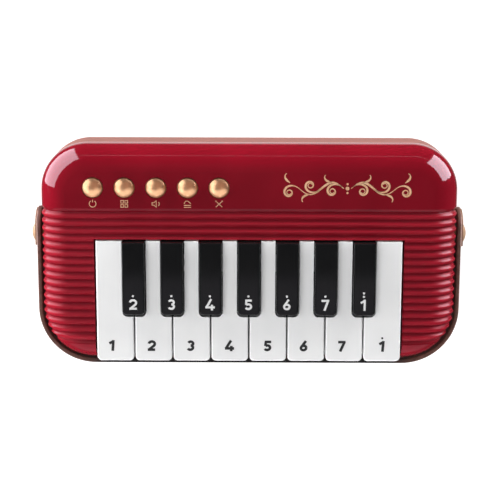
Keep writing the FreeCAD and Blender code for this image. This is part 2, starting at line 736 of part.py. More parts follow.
def key_pivot_rod():
    end = f"({END_POST_X} + dims.post_thick / 2 + dims.rod_overhang)"
    return node(axle("rod", "dims.rod_diameter / 2", f"-{end}", end, PIVOT_Y, PIVOT_Z), "key_pivot_rod", PIVOT_Y)


# Circuit board

def circuit_board():
    body = doc.addObject("PartDesign::Body", "circuit_board_body")
    narrow = f"({BED_X} - dims.board_side)"
    near = f"({DOME_Y} - dims.board_near - dims.board_margin)"
    step = f"({BED_FAR} + dims.board_gap)"
    corners = [
        (f"-{narrow}", near), (narrow, near), (narrow, step), (BOARD_X, step), (BOARD_X, BOARD_FAR),
        (f"-{BOARD_X}", BOARD_FAR), (f"-{BOARD_X}", step), (f"-{narrow}", step),
    ]
    pad(body, draw(body, "board_outline", "XY_Plane", corners, BOARD_UNDER), "dims.board_thick")
    for i, (x, y) in enumerate(standoff_places()):
        pocket(body, draw_circle(body, f"board_hole_{i}", "XY_Plane", x, y, SMALL_BORE,
                                 f"{BOARD_TOP} + dims.overcut"))
    return node(body, "circuit_board")


def chip(label, x, y):
    half = "dims.chip_size / 2"
    case = block(f"{label}_block", f"{x} - {half}", f"{x} + {half}", f"{y} - {half}", f"{y} + {half}",
                 f"{BOARD_UNDER} - dims.chip_thick", BOARD_UNDER)
    return node(case, label, f"{y} - {half}")


def dome_strip(label, x0, spacing, count, y):
    """Silicone strip on the board with a row of contact domes."""
    body = doc.addObject("PartDesign::Body", f"{label}_body")
    half = "(dims.dome_foot + dims.strip_edge)"
    last = f"({x0} + {count - 1} * {spacing})"
    base = draw(body, f"{label}_base", "XY_Plane",
                rectangle(f"{x0} - {half}", f"{last} + {half}", f"{y} - {half}", f"{y} + {half}"), BOARD_TOP)
    pad(body, base, "dims.strip_thick")
    dome = pad(body, draw_circle(body, f"{label}_dome", "XY_Plane", x0, y, "dims.dome_foot",
                                 f"{BOARD_TOP} + dims.strip_thick"), "dims.dome_height - dims.strip_thick")
    rise = "(dims.dome_height - dims.strip_thick)"
    dome.setExpression("TaperAngle", f"-atan((dims.dome_foot - dims.dome_top) / {rise})")
    doc.recompute()
    pattern(body, dome, "X_Axis", spacing, count)
    return node(body, label)


# Keys

def key_blank(label, profile, width):
    """Key lever drawn from the side and given its width."""
    body = doc.addObject("PartDesign::Body", f"{label}_body")
    pad(body, draw(body, f"{label}_side", "YZ_Plane", profile), width, symmetric=True)
    return body


def trim_side(body, label, inner_x, outer_x, from_y):
    """Take one side of a key away from a given line to its far end."""
    outline = draw(body, label, "XY_Plane", rectangle(inner_x, outer_x, from_y, f"{TAIL_FAR} + dims.overcut"),
                   f"{KEY_TOP} + dims.sharp_rise + dims.overcut")
    pocket(body, outline)


def plunger_and_bore(body, label):
    """Foot that presses the contact dome, and the bore for the pivot rod."""
    foot = draw_circle(body, f"{label}_plunger", "XY_Plane", "0", DOME_Y, "dims.plunger_radius",
                       f"{DOME_Z} + dims.dome_play")
    pad(body, foot, f"{TAIL_UNDER} - {DOME_Z} - dims.dome_play + dims.key_skin")
    pocket(body, draw_circle(body, f"{label}_bore", "YZ_Plane", PIVOT_Y, PIVOT_Z, BORE_RADIUS), symmetric=True)


def white_key(number):
    label = f"white_key_{number}"
    lip_far = f"({KEY_FRONT} + dims.key_skin)"
    lip_under = f"({KEY_TOP} - dims.key_lip)"
    half = "(dims.key_pitch / 2 - dims.key_gap / 2)"
    body = key_blank(label, [
        (KEY_FRONT, lip_under), (lip_far, lip_under), (lip_far, TAIL_UNDER), (TAIL_FAR, TAIL_UNDER),
        (TAIL_FAR, TAIL_TOP), (KEY_FAR, TAIL_TOP), (KEY_FAR, KEY_TOP), (KEY_FRONT, KEY_TOP),
    ], f"2 * {half}")
    notch = f"({SHARP_FRONT} - dims.notch_gap)"
    trim_side(body, f"{label}_left", "-dims.key_pitch", f"-{NECK_X}", KEY_FAR if number == 1 else notch)
    trim_side(body, f"{label}_right", NECK_X, "dims.key_pitch", KEY_FAR if number == WHITE_KEYS else notch)
    inside = f"({half} - dims.key_skin)"
    hollow = draw(body, f"{label}_hollow", "XY_Plane",
                  rectangle(f"-{inside}", inside, lip_far, f"{notch} - dims.key_skin"), TAIL_UNDER)
    pocket(body, hollow, f"{KEY_TOP} - dims.key_skin - {TAIL_UNDER}", reverse=True)
    plunger_and_bore(body, label)
    front = val(KEY_FRONT)
    round_edges(body, "dims.key_corner", lambda e: upright(e) and abs(e.CenterOfMass.y - front) < TOUCH)
    top = val(KEY_TOP)
    side_x = val(half)
    corner_far = front + val("dims.key_corner")
    round_edges(body, "dims.key_edge", lambda e: level_at(e, top) and (
        all(v.Y < corner_far + TOUCH for v in e.Vertexes) or all(abs(abs(v.X) - side_x) < TOUCH for v in e.Vertexes)))
    body.setExpression("Placement.Base.x", f"({number} - {(WHITE_KEYS + 1) / 2}) * dims.key_pitch")
    return node(body, label)


def black_key(number):
    label = f"black_key_{number}"
    top = f"({KEY_TOP} + dims.sharp_rise)"
    body = key_blank(label, [
        (SHARP_FRONT, TAIL_UNDER), (TAIL_FAR, TAIL_UNDER), (TAIL_FAR, TAIL_TOP), (KEY_FAR, TAIL_TOP),
        (KEY_FAR, top), (f"{SHARP_FRONT} + dims.sharp_slope", top), (SHARP_FRONT, KEY_TOP),
    ], "dims.sharp_width")
    tail = "(dims.sharp_tail / 2)"
    trim_side(body, f"{label}_left", "-dims.sharp_width", f"-{tail}", KEY_FAR)
    trim_side(body, f"{label}_right", tail, "dims.sharp_width", KEY_FAR)
    inside = "(dims.sharp_width / 2 - dims.key_skin)"
    hollow = draw(body, f"{label}_hollow", "XY_Plane",
                  rectangle(f"-{inside}", inside, f"{SHARP_FRONT} + dims.key_skin",
                            f"{DOME_Y} - dims.plunger_radius - dims.key_skin"), TAIL_UNDER)
    pocket(body, hollow, f"{KEY_TOP} - dims.key_skin - {TAIL_UNDER}", reverse=True)
    plunger_and_bore(body, label)
    front_far = val(SHARP_FRONT) + val("dims.sharp_slope")
    side_x = val("dims.sharp_width / 2")
    round_edges(body, "dims.sharp_corner", lambda e: all(
        abs(abs(v.X) - side_x) < TOUCH and v.Y < front_far + TOUCH and v.Z > val(TAIL_UNDER) - TOUCH
        for v in e.Vertexes) and abs(e.Vertexes[0].Z - e.Vertexes[-1].Z) > TOUCH)
    height = val(top)
    round_edges(body, "dims.sharp_edge", lambda e: level_at(e, height))
    body.setExpression("Placement.Base.x", f"({number} - {(BLACK_KEYS + 1) / 2}) * dims.key_pitch")
    return node(body, label)


# Push-buttons

def push_button(index, label):
    body = doc.addObject("PartDesign::Body", f"{label}_body")
    flange = f"({PANEL_Z} - dims.button_play)"
    flange_under = f"({flange} - dims.flange_thick)"
    side_top = f"({FRONT_Z} + dims.button_side)"
    crown = f"({side_top} + dims.button_crown)"
    wide = f"({BUTTON_RADIUS} + dims.button_flange)"
    stem_under = f"({DOME_Z} + dims.dome_play)"
    dome_radius = f"({BUTTON_RADIUS} ^ 2 + dims.button_crown ^ 2) / (2 * dims.button_crown)"
    profile = [
        ("0", stem_under), ("dims.stem_radius", stem_under), ("dims.stem_radius", flange_under),
        (wide, flange_under), (wide, flange), (BUTTON_RADIUS, flange), (BUTTON_RADIUS, side_top), ("0", crown),
    ]
    revolve(body, draw(body, f"{label}_profile", "XZ_Plane", profile, arcs={6: dome_radius}), "V_Axis")
    body.setExpression("Placement.Base.x", button_x(index))
    return node(body, label, BUTTON_Y)


# Strap and its studs

def strap_band():
    """Band round the near side, with a second layer of leather at each end under the stud."""
    loop = doc.addObject("PartDesign::Body", "strap_loop")
    half = "dims.strap_width / 2"
    tip = f"({STRAP_Y} + dims.strap_end)"
    out_y = f"({STRAP_IN_Y} + dims.strap_thick)"
    corners = [
        (f"-{STRAP_OUT_X}", tip), (f"-{STRAP_OUT_X}", f"-{out_y}"), (STRAP_OUT_X, f"-{out_y}"), (STRAP_OUT_X, tip),
        (STRAP_IN_X, tip), (STRAP_IN_X, f"-{STRAP_IN_Y}"), (f"-{STRAP_IN_X}", f"-{STRAP_IN_Y}"),
        (f"-{STRAP_IN_X}", tip),
    ]
    pad(loop, draw(loop, "strap_line", "XY_Plane", corners, PART_Z), "dims.strap_width", symmetric=True)
    inner_bend = "(dims.corner_near + dims.strap_gap_side)"
    inner_y = val(STRAP_IN_Y)
    outer_y = val(out_y)
    round_edges(loop, f"{inner_bend} + dims.strap_thick",
                lambda e: upright(e) and abs(e.CenterOfMass.y + outer_y) < TOUCH)
    round_edges(loop, inner_bend, lambda e: upright(e) and abs(e.CenterOfMass.y + inner_y) < TOUCH)
    layers = [loop]
    for side, low, high in (("left", f"-{TAB_OUT_X}", f"-{STRAP_OUT_X}"), ("right", STRAP_OUT_X, TAB_OUT_X)):
        layers.append(block(f"{side}_tab", low, high, f"{STRAP_Y} - dims.tab_reach", tip,
                            f"{PART_Z} - {half}", f"{PART_Z} + {half}"))
    outline = doc.addObject("PartDesign::Body", "strap_side")
    stadium = [
        (f"-{BIG_Y}", f"{PART_Z} - {half}"), (f"{tip} - {half}", f"{PART_Z} - {half}"), (tip, PART_Z),
        (f"{tip} - {half}", f"{PART_Z} + {half}"), (f"-{BIG_Y}", f"{PART_Z} + {half}"),
    ]
    pad(outline, draw(outline, "strap_stadium", "YZ_Plane", stadium, arcs={1: half, 2: half}), f"2 * {BIG_X}",
        symmetric=True)
    hole = axle("eyelet_holes", EYELET_RADIUS, f"-{BIG_X}", BIG_X, STRAP_Y, PART_Z)
    shape = common("strap_shape", joined("strap_layers", layers), outline)
    return node(cut("strap_piece", shape, [hole]), "strap_band")


def strap_eyelets():
    rings = []
    for side, low, high in (("left", f"-{TAB_OUT_X}", f"-{STRAP_IN_X}"), ("right", STRAP_IN_X, TAB_OUT_X)):
        ring = axle(f"{side}_eyelet_outside", EYELET_RADIUS, low, high, STRAP_Y, PART_Z)
        bore = axle(f"{side}_eyelet_bore", "dims.stud_radius + dims.eyelet_fit", f"{low} - dims.overcut",
                    f"{high} + dims.overcut", STRAP_Y, PART_Z)
        rings.append(cut(f"{side}_eyelet", ring, [bore]))
    return node(group("eyelets", rings), "strap_eyelets")


def strap_stud(label, side):
    """Stud turned about X: a flange inside the wall, a shank, and a domed cap outside the strap."""
    body = doc.addObject("PartDesign::Body", f"{label}_body")
    flange_out = f"({HALF_X} - dims.wall - dims.stud_fit)"
    flange_in = f"({flange_out} - dims.stud_flange_thick)"
    cap_in = f"({TAB_OUT_X} + dims.cap_play)"
    rim = f"({cap_in} + dims.cap_rim)"
    crown = f"({rim} + dims.cap_crown)"
    wide = "(dims.stud_radius + dims.stud_flange)"
    dome_radius = "(dims.cap_radius ^ 2 + dims.cap_crown ^ 2) / (2 * dims.cap_crown)"
    profile = [
        (flange_in, "0"), (crown, "0"), (rim, "dims.cap_radius"), (cap_in, "dims.cap_radius"),
        (cap_in, "dims.stud_radius"), (flange_out, "dims.stud_radius"), (flange_out, wide), (flange_in, wide),
    ]
    revolve(body, draw(body, f"{label}_profile", "XY_Plane", profile, arcs={1: dome_radius}), "H_Axis")
    if side < 0:
        body.Placement = FreeCAD.Placement(Vector(), Rotation(Vector(0, 0, 1), 180))
    body.setExpression("Placement.Base.z", PART_Z)
    return node(body, label, STRAP_Y)


# Speaker, facing the slots in the rear wall

def turned(label, profile):
    """Piece turned about the speaker's axis."""
    body = doc.addObject("PartDesign::Body", f"{label}_body")
    revolve(body, draw(body, f"{label}_profile", "XZ_Plane", profile), "V_Axis")
    body.setExpression("Placement.Base.x", SPEAKER_X)
    return node(body, label, "dims.speaker_y")


def speaker():
    shoulder = f"({RIM_INSIDE} + dims.basket_thick)"
    throat = "(dims.coil_radius + dims.speaker_fit)"
    turned("speaker_frame", [
        (RIM_INSIDE, FLOOR_Z), ("dims.speaker_radius", FLOOR_Z), ("dims.speaker_radius", RIM_TOP),
        (shoulder, RIM_TOP), ("dims.basket_top", BASKET_TOP), (throat, BASKET_TOP),
        (throat, f"{BASKET_TOP} - dims.basket_thick"),
        ("dims.basket_top - dims.basket_thick", f"{BASKET_TOP} - dims.basket_thick"), (RIM_INSIDE, RIM_TOP),
    ])
    edge = f"({RIM_INSIDE} - dims.speaker_fit)"
    low = f"({FLOOR_Z} + dims.cone_thick)"
    deep = f"({low} + dims.cone_depth)"
    coil_top = f"({BASKET_TOP} - dims.speaker_fit)"
    turned("speaker_cone", [
        ("0", deep), ("dims.coil_radius", deep), (edge, low), (edge, f"{low} + dims.cone_thick"),
        ("dims.coil_radius", f"{deep} + dims.cone_thick"), ("dims.coil_radius", coil_top),
        ("dims.coil_radius - dims.cone_thick", coil_top),
        ("dims.coil_radius - dims.cone_thick", f"{deep} + dims.cone_thick"), ("0", f"{deep} + dims.cone_thick"),
    ])
    node(post("magnet", "dims.magnet_radius", SPEAKER_X, "dims.speaker_y", BASKET_TOP,
              f"{BASKET_TOP} + dims.magnet_thick"), "speaker_magnet", "dims.speaker_y")
    lead_x = "(dims.speaker_radius - dims.rim_width / 2 + dims.lead_radius)"
    leads = [post(f"speaker_lead_{i}", "dims.lead_radius", f"{SPEAKER_X} + {lead_x}",
                  f"dims.speaker_y + {sign} * 2 * dims.lead_radius", RIM_TOP, BOARD_UNDER)
             for i, sign in enumerate((-1, 1))]
    node(group("speaker_lead_pair", leads), "speaker_leads")


# Batteries

def battery_lead_places():
    y = f"(dims.bay_y + {BAY_WIDTH} / 2 - dims.cell_radius)"
    inset = "(dims.lead_radius + dims.screw_fit)"
    return [(f"({BAY_LOW_X} + {inset})", y), (f"({BAY_HIGH_X} - {inset})", y)]


def batteries():
    cells = []
    for i in range(CELLS):
        y = f"(dims.bay_y + {i - CELLS // 2} * {CELL_PITCH})"
        low = f"({BAY_LOW_X} + dims.contact_thick)"
        high = f"({BAY_HIGH_X} - dims.contact_thick)"
        if i % 2:
            can = axle(f"can_{i}", "dims.cell_radius", f"{low} + dims.nub_length", high, y, CELL_Z)
            nub = axle(f"nub_{i}", "dims.nub_radius", low, f"{low} + dims.nub_length", y, CELL_Z)
        else:
            can = axle(f"can_{i}", "dims.cell_radius", low, f"{high} - dims.nub_length", y, CELL_Z)
            nub = axle(f"nub_{i}", "dims.nub_radius", f"{high} - dims.nub_length", high, y, CELL_Z)
        cells.append(joined(f"cell_{i}", [can, nub]))
    node(group("cells", cells), "battery_cells")
    plates = []
    for i, (low, high) in enumerate(((BAY_LOW_X, f"{BAY_LOW_X} + dims.contact_thick"),
                                     (f"{BAY_HIGH_X} - dims.contact_thick", BAY_HIGH_X))):
        plates.append(block(f"contact_{i}", low, high, f"dims.bay_y - {BAY_WIDTH} / 2 + dims.cell_play",
                            f"dims.bay_y + {BAY_WIDTH} / 2 - dims.cell_play",
                            f"{BAY_TOP} - dims.contact_height", BAY_TOP))
    node(group("contacts", plates), "battery_contacts")
    leads = [post(f"battery_lead_{i}", "dims.lead_radius", x, y, BAY_TOP, BOARD_UNDER)
             for i, (x, y) in enumerate(battery_lead_places())]
    node(group("battery_lead_pair", leads), "battery_leads")


def battery_cover():
    plate = rounded_plate("cover_plate", COVER_LOW_X, COVER_HIGH_X, f"dims.bay_y - {COVER_Y}",
                          f"dims.bay_y + {COVER_Y}", "dims.foot_proud", "dims.cover_thick", "dims.cover_corner")
    head = post("cover_head_bore", HEAD_BORE, COVER_SCREW_X, "dims.bay_y", "0",
                "dims.foot_proud + dims.small_head_thick")
    bore = post("cover_screw_bore", SCREW_BORE, COVER_SCREW_X, "dims.bay_y", "0", FLOOR_Z)
    node(cut("cover_piece", plate, [head, bore]), "battery_cover")
    seat = "(dims.foot_proud + dims.small_head_thick)"
    bite = "(dims.foot_proud + dims.cover_thick + dims.cover_bite)"
    node(joined("cover_screw_piece", [
        post("cover_screw_head", "dims.screw_head", COVER_SCREW_X, "dims.bay_y", "dims.foot_proud", seat),
        post("cover_screw_shank", "dims.screw_radius", COVER_SCREW_X, "dims.bay_y", seat,
             f"{bite} - dims.bore_spare"),
    ]), "battery_cover_screw")


# Screws and feet

def screw_group(label, places, head, head_low, seat, shank, tip):
    screws = []
    for i, (x, y) in enumerate(places):
        screws.append(joined(f"{label}_{i}", [
            post(f"{label}_head_{i}", head, x, y, head_low, seat),
            post(f"{label}_shank_{i}", shank, x, y, seat, tip),
        ]))
    return node(group(f"{label}_group", screws), label)


def screws():
    screw_group("case_screws", case_screw_places(), "dims.screw_head", f"{SEAT_Z} - dims.screw_head_thick", SEAT_Z,
                "dims.screw_radius", f"{PART_Z} + dims.screw_bite")
    screw_group("bed_screws", bed_screw_places(), "dims.small_head", f"{BED_UNDER} - dims.small_head_thick",
                BED_UNDER, "dims.small_radius", f"{BED_TOP} + dims.small_bite")
    screw_group("board_screws", standoff_places(), "dims.small_head", f"{BOARD_UNDER} - dims.small_head_thick",
                BOARD_UNDER, "dims.small_radius", f"{BED_UNDER} + dims.bed_thick")


def rubber_feet():
    feet = [post(f"foot_{i}", "dims.foot_radius", x, y, "0", "dims.foot_proud + dims.foot_sunk")
            for i, (x, y) in enumerate(foot_places())]
    return node(group("feet", feet), "rubber_feet")


front_shell()
rear_shell()
key_bed()
key_pivot_rod()
circuit_board()
chip("control_chip", "(-dims.chip_offset)", f"({DOME_Y} + dims.chip_size)")
chip("memory_chip", "(-dims.chip_offset)", f"({DOME_Y} - dims.chip_size / 2)")
dome_strip("key_dome_strip", f"(-{WHITE_KEYS - 1} * dims.key_pitch / 2)", "(dims.key_pitch / 2)",
           WHITE_KEYS + BLACK_KEYS, DOME_Y)
dome_strip("button_dome_strip", f"(-{BUTTON_X})", "dims.button_pitch", len(BUTTONS), BUTTON_Y)
for key_number in range(1, WHITE_KEYS + 1):
    white_key(key_number)
for key_number in range(1, BLACK_KEYS + 1):
    black_key(key_number)
for button_index, button_label in enumerate(BUTTONS):
    push_button(button_index, button_label)
strap_band()
strap_eyelets()
strap_stud("left_strap_stud", -1)
strap_stud("right_strap_stud", 1)
speaker()
batteries()
battery_cover()
screws()
rubber_feet()
doc.recompute()

for item in doc.Objects:
    if "Invalid" in item.State or "Error" in item.State:
        raise RuntimeError(f"{item.Label} did not build: {item.State}")
os.makedirs("parts", exist_ok=True)
for piece in nodes:
    if piece.Shape.isNull() or not piece.Shape.isValid():
        raise RuntimeError(f"{piece.Label} has no valid shape")
    piece.Shape.exportStep(f"parts/{piece.Label}.step")
    print(piece.Label, len(piece.Shape.Solids), "solids", round(piece.Shape.Volume), "mm3")
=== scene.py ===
import json
import math
from collections import namedtuple

import bmesh
import bpy
from mathutils import Matrix, Vector


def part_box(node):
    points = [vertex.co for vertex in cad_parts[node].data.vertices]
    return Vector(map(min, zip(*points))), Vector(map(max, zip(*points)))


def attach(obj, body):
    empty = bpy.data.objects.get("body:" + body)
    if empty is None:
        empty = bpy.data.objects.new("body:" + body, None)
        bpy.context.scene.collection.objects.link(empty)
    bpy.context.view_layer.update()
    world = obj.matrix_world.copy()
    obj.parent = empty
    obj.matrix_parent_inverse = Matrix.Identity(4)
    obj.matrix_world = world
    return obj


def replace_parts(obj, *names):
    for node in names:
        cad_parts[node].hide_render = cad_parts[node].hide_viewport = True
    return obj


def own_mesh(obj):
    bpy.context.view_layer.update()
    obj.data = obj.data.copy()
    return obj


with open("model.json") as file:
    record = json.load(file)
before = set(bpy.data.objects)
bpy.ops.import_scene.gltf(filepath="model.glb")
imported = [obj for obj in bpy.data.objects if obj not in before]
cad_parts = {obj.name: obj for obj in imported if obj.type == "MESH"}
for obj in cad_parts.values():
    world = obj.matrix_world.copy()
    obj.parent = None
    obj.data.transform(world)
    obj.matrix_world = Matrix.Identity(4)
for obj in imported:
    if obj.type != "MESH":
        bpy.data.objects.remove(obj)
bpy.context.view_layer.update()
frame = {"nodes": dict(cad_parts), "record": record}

MM = 0.001
MICRON = 1e-6

# Places read from the frame: the panel, the strap, one of its studs and the buttons
shell_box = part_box("front_shell")
strap_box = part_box("strap_band")
stud_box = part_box("right_strap_stud")
button_boxes = {name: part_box(f"{name}_button") for name in ("power", "tone", "volume", "demo", "rhythm")}

BLACK_KEYS = 7
PANEL_Z = shell_box[1].z
CASE_NEAR = shell_box[0].y
CASE_FAR = shell_box[1].y


def middle(box):
    """Middle of a box that is given by two opposite corners."""
    return (box[0] + box[1]) / 2


# Shader helpers

DRIFT_FROM = 0.35
DRIFT_TO = 0.65
DRIFT_DETAIL = 2.0
GRAIN_DETAIL = 3.0


def surface(mat):
    """The shader that a material's looks are led to."""
    return mat.node_tree.nodes["Principled BSDF"]


def shader(name, **constants):
    """Principled material whose constant inputs are set on its own sockets."""
    mat = bpy.data.materials.new(name)
    mat.use_nodes = True
    for socket, value in constants.items():
        surface(mat).inputs[socket.replace("_", " ")].default_value = value
    return mat


def add(mat, kind, **settings):
    """New node; a setting goes to the input of its name, or else to the node's own property."""
    node = mat.node_tree.nodes.new(kind)
    for key, value in settings.items():
        if key in node.inputs:
            node.inputs[key].default_value = value
        else:
            setattr(node, key, value)
    return node


def wire(mat, source, target):
    mat.node_tree.links.new(source, target)


def own_place(mat):
    """Place on the piece in its own coordinates."""
    return add(mat, "ShaderNodeTexCoord").outputs["Object"]


def own_axis(mat, axis):
    """Place along one of the piece's own axes."""
    split = add(mat, "ShaderNodeSeparateXYZ")
    wire(mat, own_place(mat), split.inputs["Vector"])
    return split.outputs[axis]


def noise(mat, scale, detail):
    """Noise over the piece's own coordinates; scale counts features per metre."""
    texture = add(mat, "ShaderNodeTexNoise", Scale=scale, Detail=detail)
    wire(mat, own_place(mat), texture.inputs["Vector"])
    return texture.outputs["Fac"]


def remap(mat, source, start=0.0, end=1.0, low=0.0, high=1.0, clamp=True):
    """Value that runs from low to high as the source runs from start to end."""
    spread = add(mat, "ShaderNodeMapRange", clamp=clamp)
    for socket, value in (("From Min", start), ("From Max", end), ("To Min", low), ("To Max", high)):
        spread.inputs[socket].default_value = value
    wire(mat, source, spread.inputs["Value"])
    return spread.outputs["Result"]


def ramp_along(mat, axis, start, end):
    """Factor that rises from 0 to 1 between two places on one of the piece's own axes."""
    return remap(mat, own_axis(mat, axis), start, end)


def calculate(mat, operation, *terms):
    """Result of one step of arithmetic on factors and plain numbers."""
    step = add(mat, "ShaderNodeMath", operation=operation)
    for socket, term in zip(step.inputs, terms):
        if isinstance(term, float):
            socket.default_value = term
        else:
            wire(mat, term, socket)
    return step.outputs["Value"]


def product(mat, first, second):
    return calculate(mat, "MULTIPLY", first, second)


def colour_drift(mat, scale, dark, light, detail=DRIFT_DETAIL):
    """Base colour that wanders between two close tones."""
    ramp = add(mat, "ShaderNodeValToRGB")
    for stop, place, tone in zip(ramp.color_ramp.elements, (DRIFT_FROM, DRIFT_TO), (dark, light)):
        stop.position = place
        stop.color = (*tone, 1)
    wire(mat, noise(mat, scale, detail), ramp.inputs["Fac"])
    wire(mat, ramp.outputs["Color"], surface(mat).inputs["Base Color"])


def grain(mat, source, roughness, height, strength=1.0, invert=False):
    """Roughness between two values and a bump of the given height, both led by one texture."""
    low, high = roughness
    wire(mat, remap(mat, source, low=low, high=high), surface(mat).inputs["Roughness"])
    bump = add(mat, "ShaderNodeBump", Strength=strength, Distance=height, invert=invert)
    wire(mat, source, bump.inputs["Height"])
    wire(mat, bump.outputs["Normal"], surface(mat).inputs["Normal"])


def moulded(name, dark, light, roughness, peel=1.5, drift=45, fine=900, **constants):
    """Material with a drifting colour and a fine grain.

    The grain's height, peel, is in microns; drift and fine count features per metre of colour and grain.
    """
    mat = shader(name, **constants)
    colour_drift(mat, drift, dark, light)
    grain(mat, noise(mat, fine, GRAIN_DETAIL), roughness, peel * MICRON)
    return mat


def live(sockets, name):
    """The socket of that name which the node's data type uses."""
    return next(socket for socket in sockets if socket.name == name and socket.enabled)


def steer(mat, socket, factor, value):
    """Lead one input of the shader over to a constant as the factor rises."""
    target = surface(mat).inputs[socket]
    tone = isinstance(value, tuple)
    mix = add(mat, "ShaderNodeMix", data_type="RGBA" if tone else "FLOAT")
    before = live(mix.inputs, "A")
    if target.links:
        wire(mat, target.links[0].from_socket, before)
    else:
        before.default_value = target.default_value
    live(mix.inputs, "B").default_value = (*value, 1) if tone else value
    wire(mat, factor, live(mix.inputs, "Factor"))
    wire(mat, live(mix.outputs, "Result"), target)


# Red shell: gloss plastic that turns satin over the reeding, with painted shade over the reeding, a
# painted sheen along each crest, and a copper band along its foot

RED_DARK = (0.172, 0.0030, 0.0098)
RED_LIGHT = (0.196, 0.0036, 0.0115)
PANEL_ROUGHNESS = (0.05, 0.09)
REED_FAR = CASE_FAR - 25.5 * MM
REED_NEAR = CASE_NEAR + 8.24 * MM
REED_BLEND = 0.3 * MM
SATIN_NEAR = REED_NEAR - 1.0 * MM
GROOVES = 18
RIB_PITCH = (REED_FAR - REED_NEAR) / (GROOVES - 1)
# Painted shade darkens the reeding towards its grooves, and a painted sheen lightens each crest
GROOVE_SHADE_RED = (0.150, 0.0034, 0.0095)
CREST_SHEEN_RED = (0.250, 0.0064, 0.0160)
REED_ROUGHNESS = 0.40
REED_SPECULAR = 0.09
RIB_END_FROM = 70.0 * MM
RIB_END_TO = 75.0 * MM
RIB_END_ROUGHNESS = 0.20
LEFT_END_SPECULAR = 0.24
RIGHT_END_SPECULAR = 0.30
BAND_TOP = 24.4 * MM
BAND_BLEND = 0.1 * MM
COPPER = (0.21, 0.058, 0.035)
COPPER_ROUGHNESS = 0.46
COPPER_METALLIC = 0.2

# Lines along a rib: their place, and the distances where they are at full strength and end, in pitches
CREST = (0.5, 0.1, 0.5)
FAR_FLANK = (0.27, 0.03, 0.16)


def rib_factor(mat, centre, full, none):
    """Factor that is 1 within a first distance of a line along each rib and 0 beyond a second.

    The line's place and both distances are shares of the pitch, counted from a groove towards the player.
    """
    count = remap(mat, own_axis(mat, "Y"), REED_FAR, REED_FAR - RIB_PITCH, clamp=False)
    share = calculate(mat, "FRACT", count)
    distance = calculate(mat, "ABSOLUTE", calculate(mat, "SUBTRACT", share, centre))
    return remap(mat, distance, none, full)


def red_material():
    mat = moulded("red_plastic", RED_DARK, RED_LIGHT, PANEL_ROUGHNESS)
    reeded = product(mat, ramp_along(mat, "Y", SATIN_NEAR - REED_BLEND, SATIN_NEAR + REED_BLEND),
                     ramp_along(mat, "Y", REED_FAR + REED_BLEND, REED_FAR - REED_BLEND))
    # Painted shade over the reeding, then a painted sheen along each rib's crest
    steer(mat, "Base Color", reeded, GROOVE_SHADE_RED)
    steer(mat, "Base Color", product(mat, reeded, rib_factor(mat, *CREST)), CREST_SHEEN_RED)
    steer(mat, "Roughness", reeded, REED_ROUGHNESS)
    steer(mat, "Specular IOR Level", reeded, REED_SPECULAR)
    flank = product(mat, reeded, rib_factor(mat, *FAR_FLANK))
    for side, specular in ((-1, LEFT_END_SPECULAR), (1, RIGHT_END_SPECULAR)):
        rib_ends = product(mat, flank, ramp_along(mat, "X", side * RIB_END_FROM, side * RIB_END_TO))
        steer(mat, "Roughness", rib_ends, RIB_END_ROUGHNESS)
        steer(mat, "Specular IOR Level", rib_ends, specular)
    foot = ramp_along(mat, "Z", BAND_TOP + BAND_BLEND, BAND_TOP - BAND_BLEND)
    steer(mat, "Base Color", foot, COPPER)
    steer(mat, "Roughness", foot, COPPER_ROUGHNESS)
    steer(mat, "Metallic", foot, COPPER_METALLIC)
    return mat


# Leather: pebbled, with painted shade along the edge that runs under the keys

LEATHER_DARK = (0.084, 0.034, 0.023)
LEATHER_LIGHT = (0.128, 0.055, 0.039)
LEATHER_DRIFT = 420
LEATHER_DETAIL = 5.0
LEATHER_SPECULAR = 0.35
# Painted shade: near black along the strap's upper edge where it runs in the keys' shadow
KEY_SHADE = (0.009, 0.008, 0.008)
KEY_SHADE_FULL = 56.0 * MM
KEY_SHADE_NONE = 66.0 * MM
KEY_SHADE_LOW = strap_box[1].z - 1.2 * MM
KEY_SHADE_HIGH = strap_box[1].z - 0.8 * MM
PEBBLES = 1500.0
PEBBLE_ROUGHNESS = (0.62, 0.42)
PEBBLE_HEIGHT = 0.08 * MM
PEBBLE_STRENGTH = 0.6


def leather_material():
    mat = shader("leather", Specular_IOR_Level=LEATHER_SPECULAR)
    colour_drift(mat, LEATHER_DRIFT, LEATHER_DARK, LEATHER_LIGHT, LEATHER_DETAIL)
    under_keys = product(mat, ramp_along(mat, "X", -KEY_SHADE_NONE, -KEY_SHADE_FULL),
                         ramp_along(mat, "X", KEY_SHADE_NONE, KEY_SHADE_FULL))
    # Painted shade of the keys on the upper edge of the strap's run beneath them
    painted_key_shade = product(mat, under_keys, ramp_along(mat, "Z", KEY_SHADE_LOW, KEY_SHADE_HIGH))
    steer(mat, "Base Color", painted_key_shade, KEY_SHADE)
    pebbles = add(mat, "ShaderNodeTexVoronoi", Scale=PEBBLES)
    wire(mat, own_place(mat), pebbles.inputs["Vector"])
    grain(mat, pebbles.outputs["Distance"], PEBBLE_ROUGHNESS, PEBBLE_HEIGHT, PEBBLE_STRENGTH, invert=True)
    return mat


# Other looks, as moulded() takes them: the record's slots, then the printing and the strap's other layers

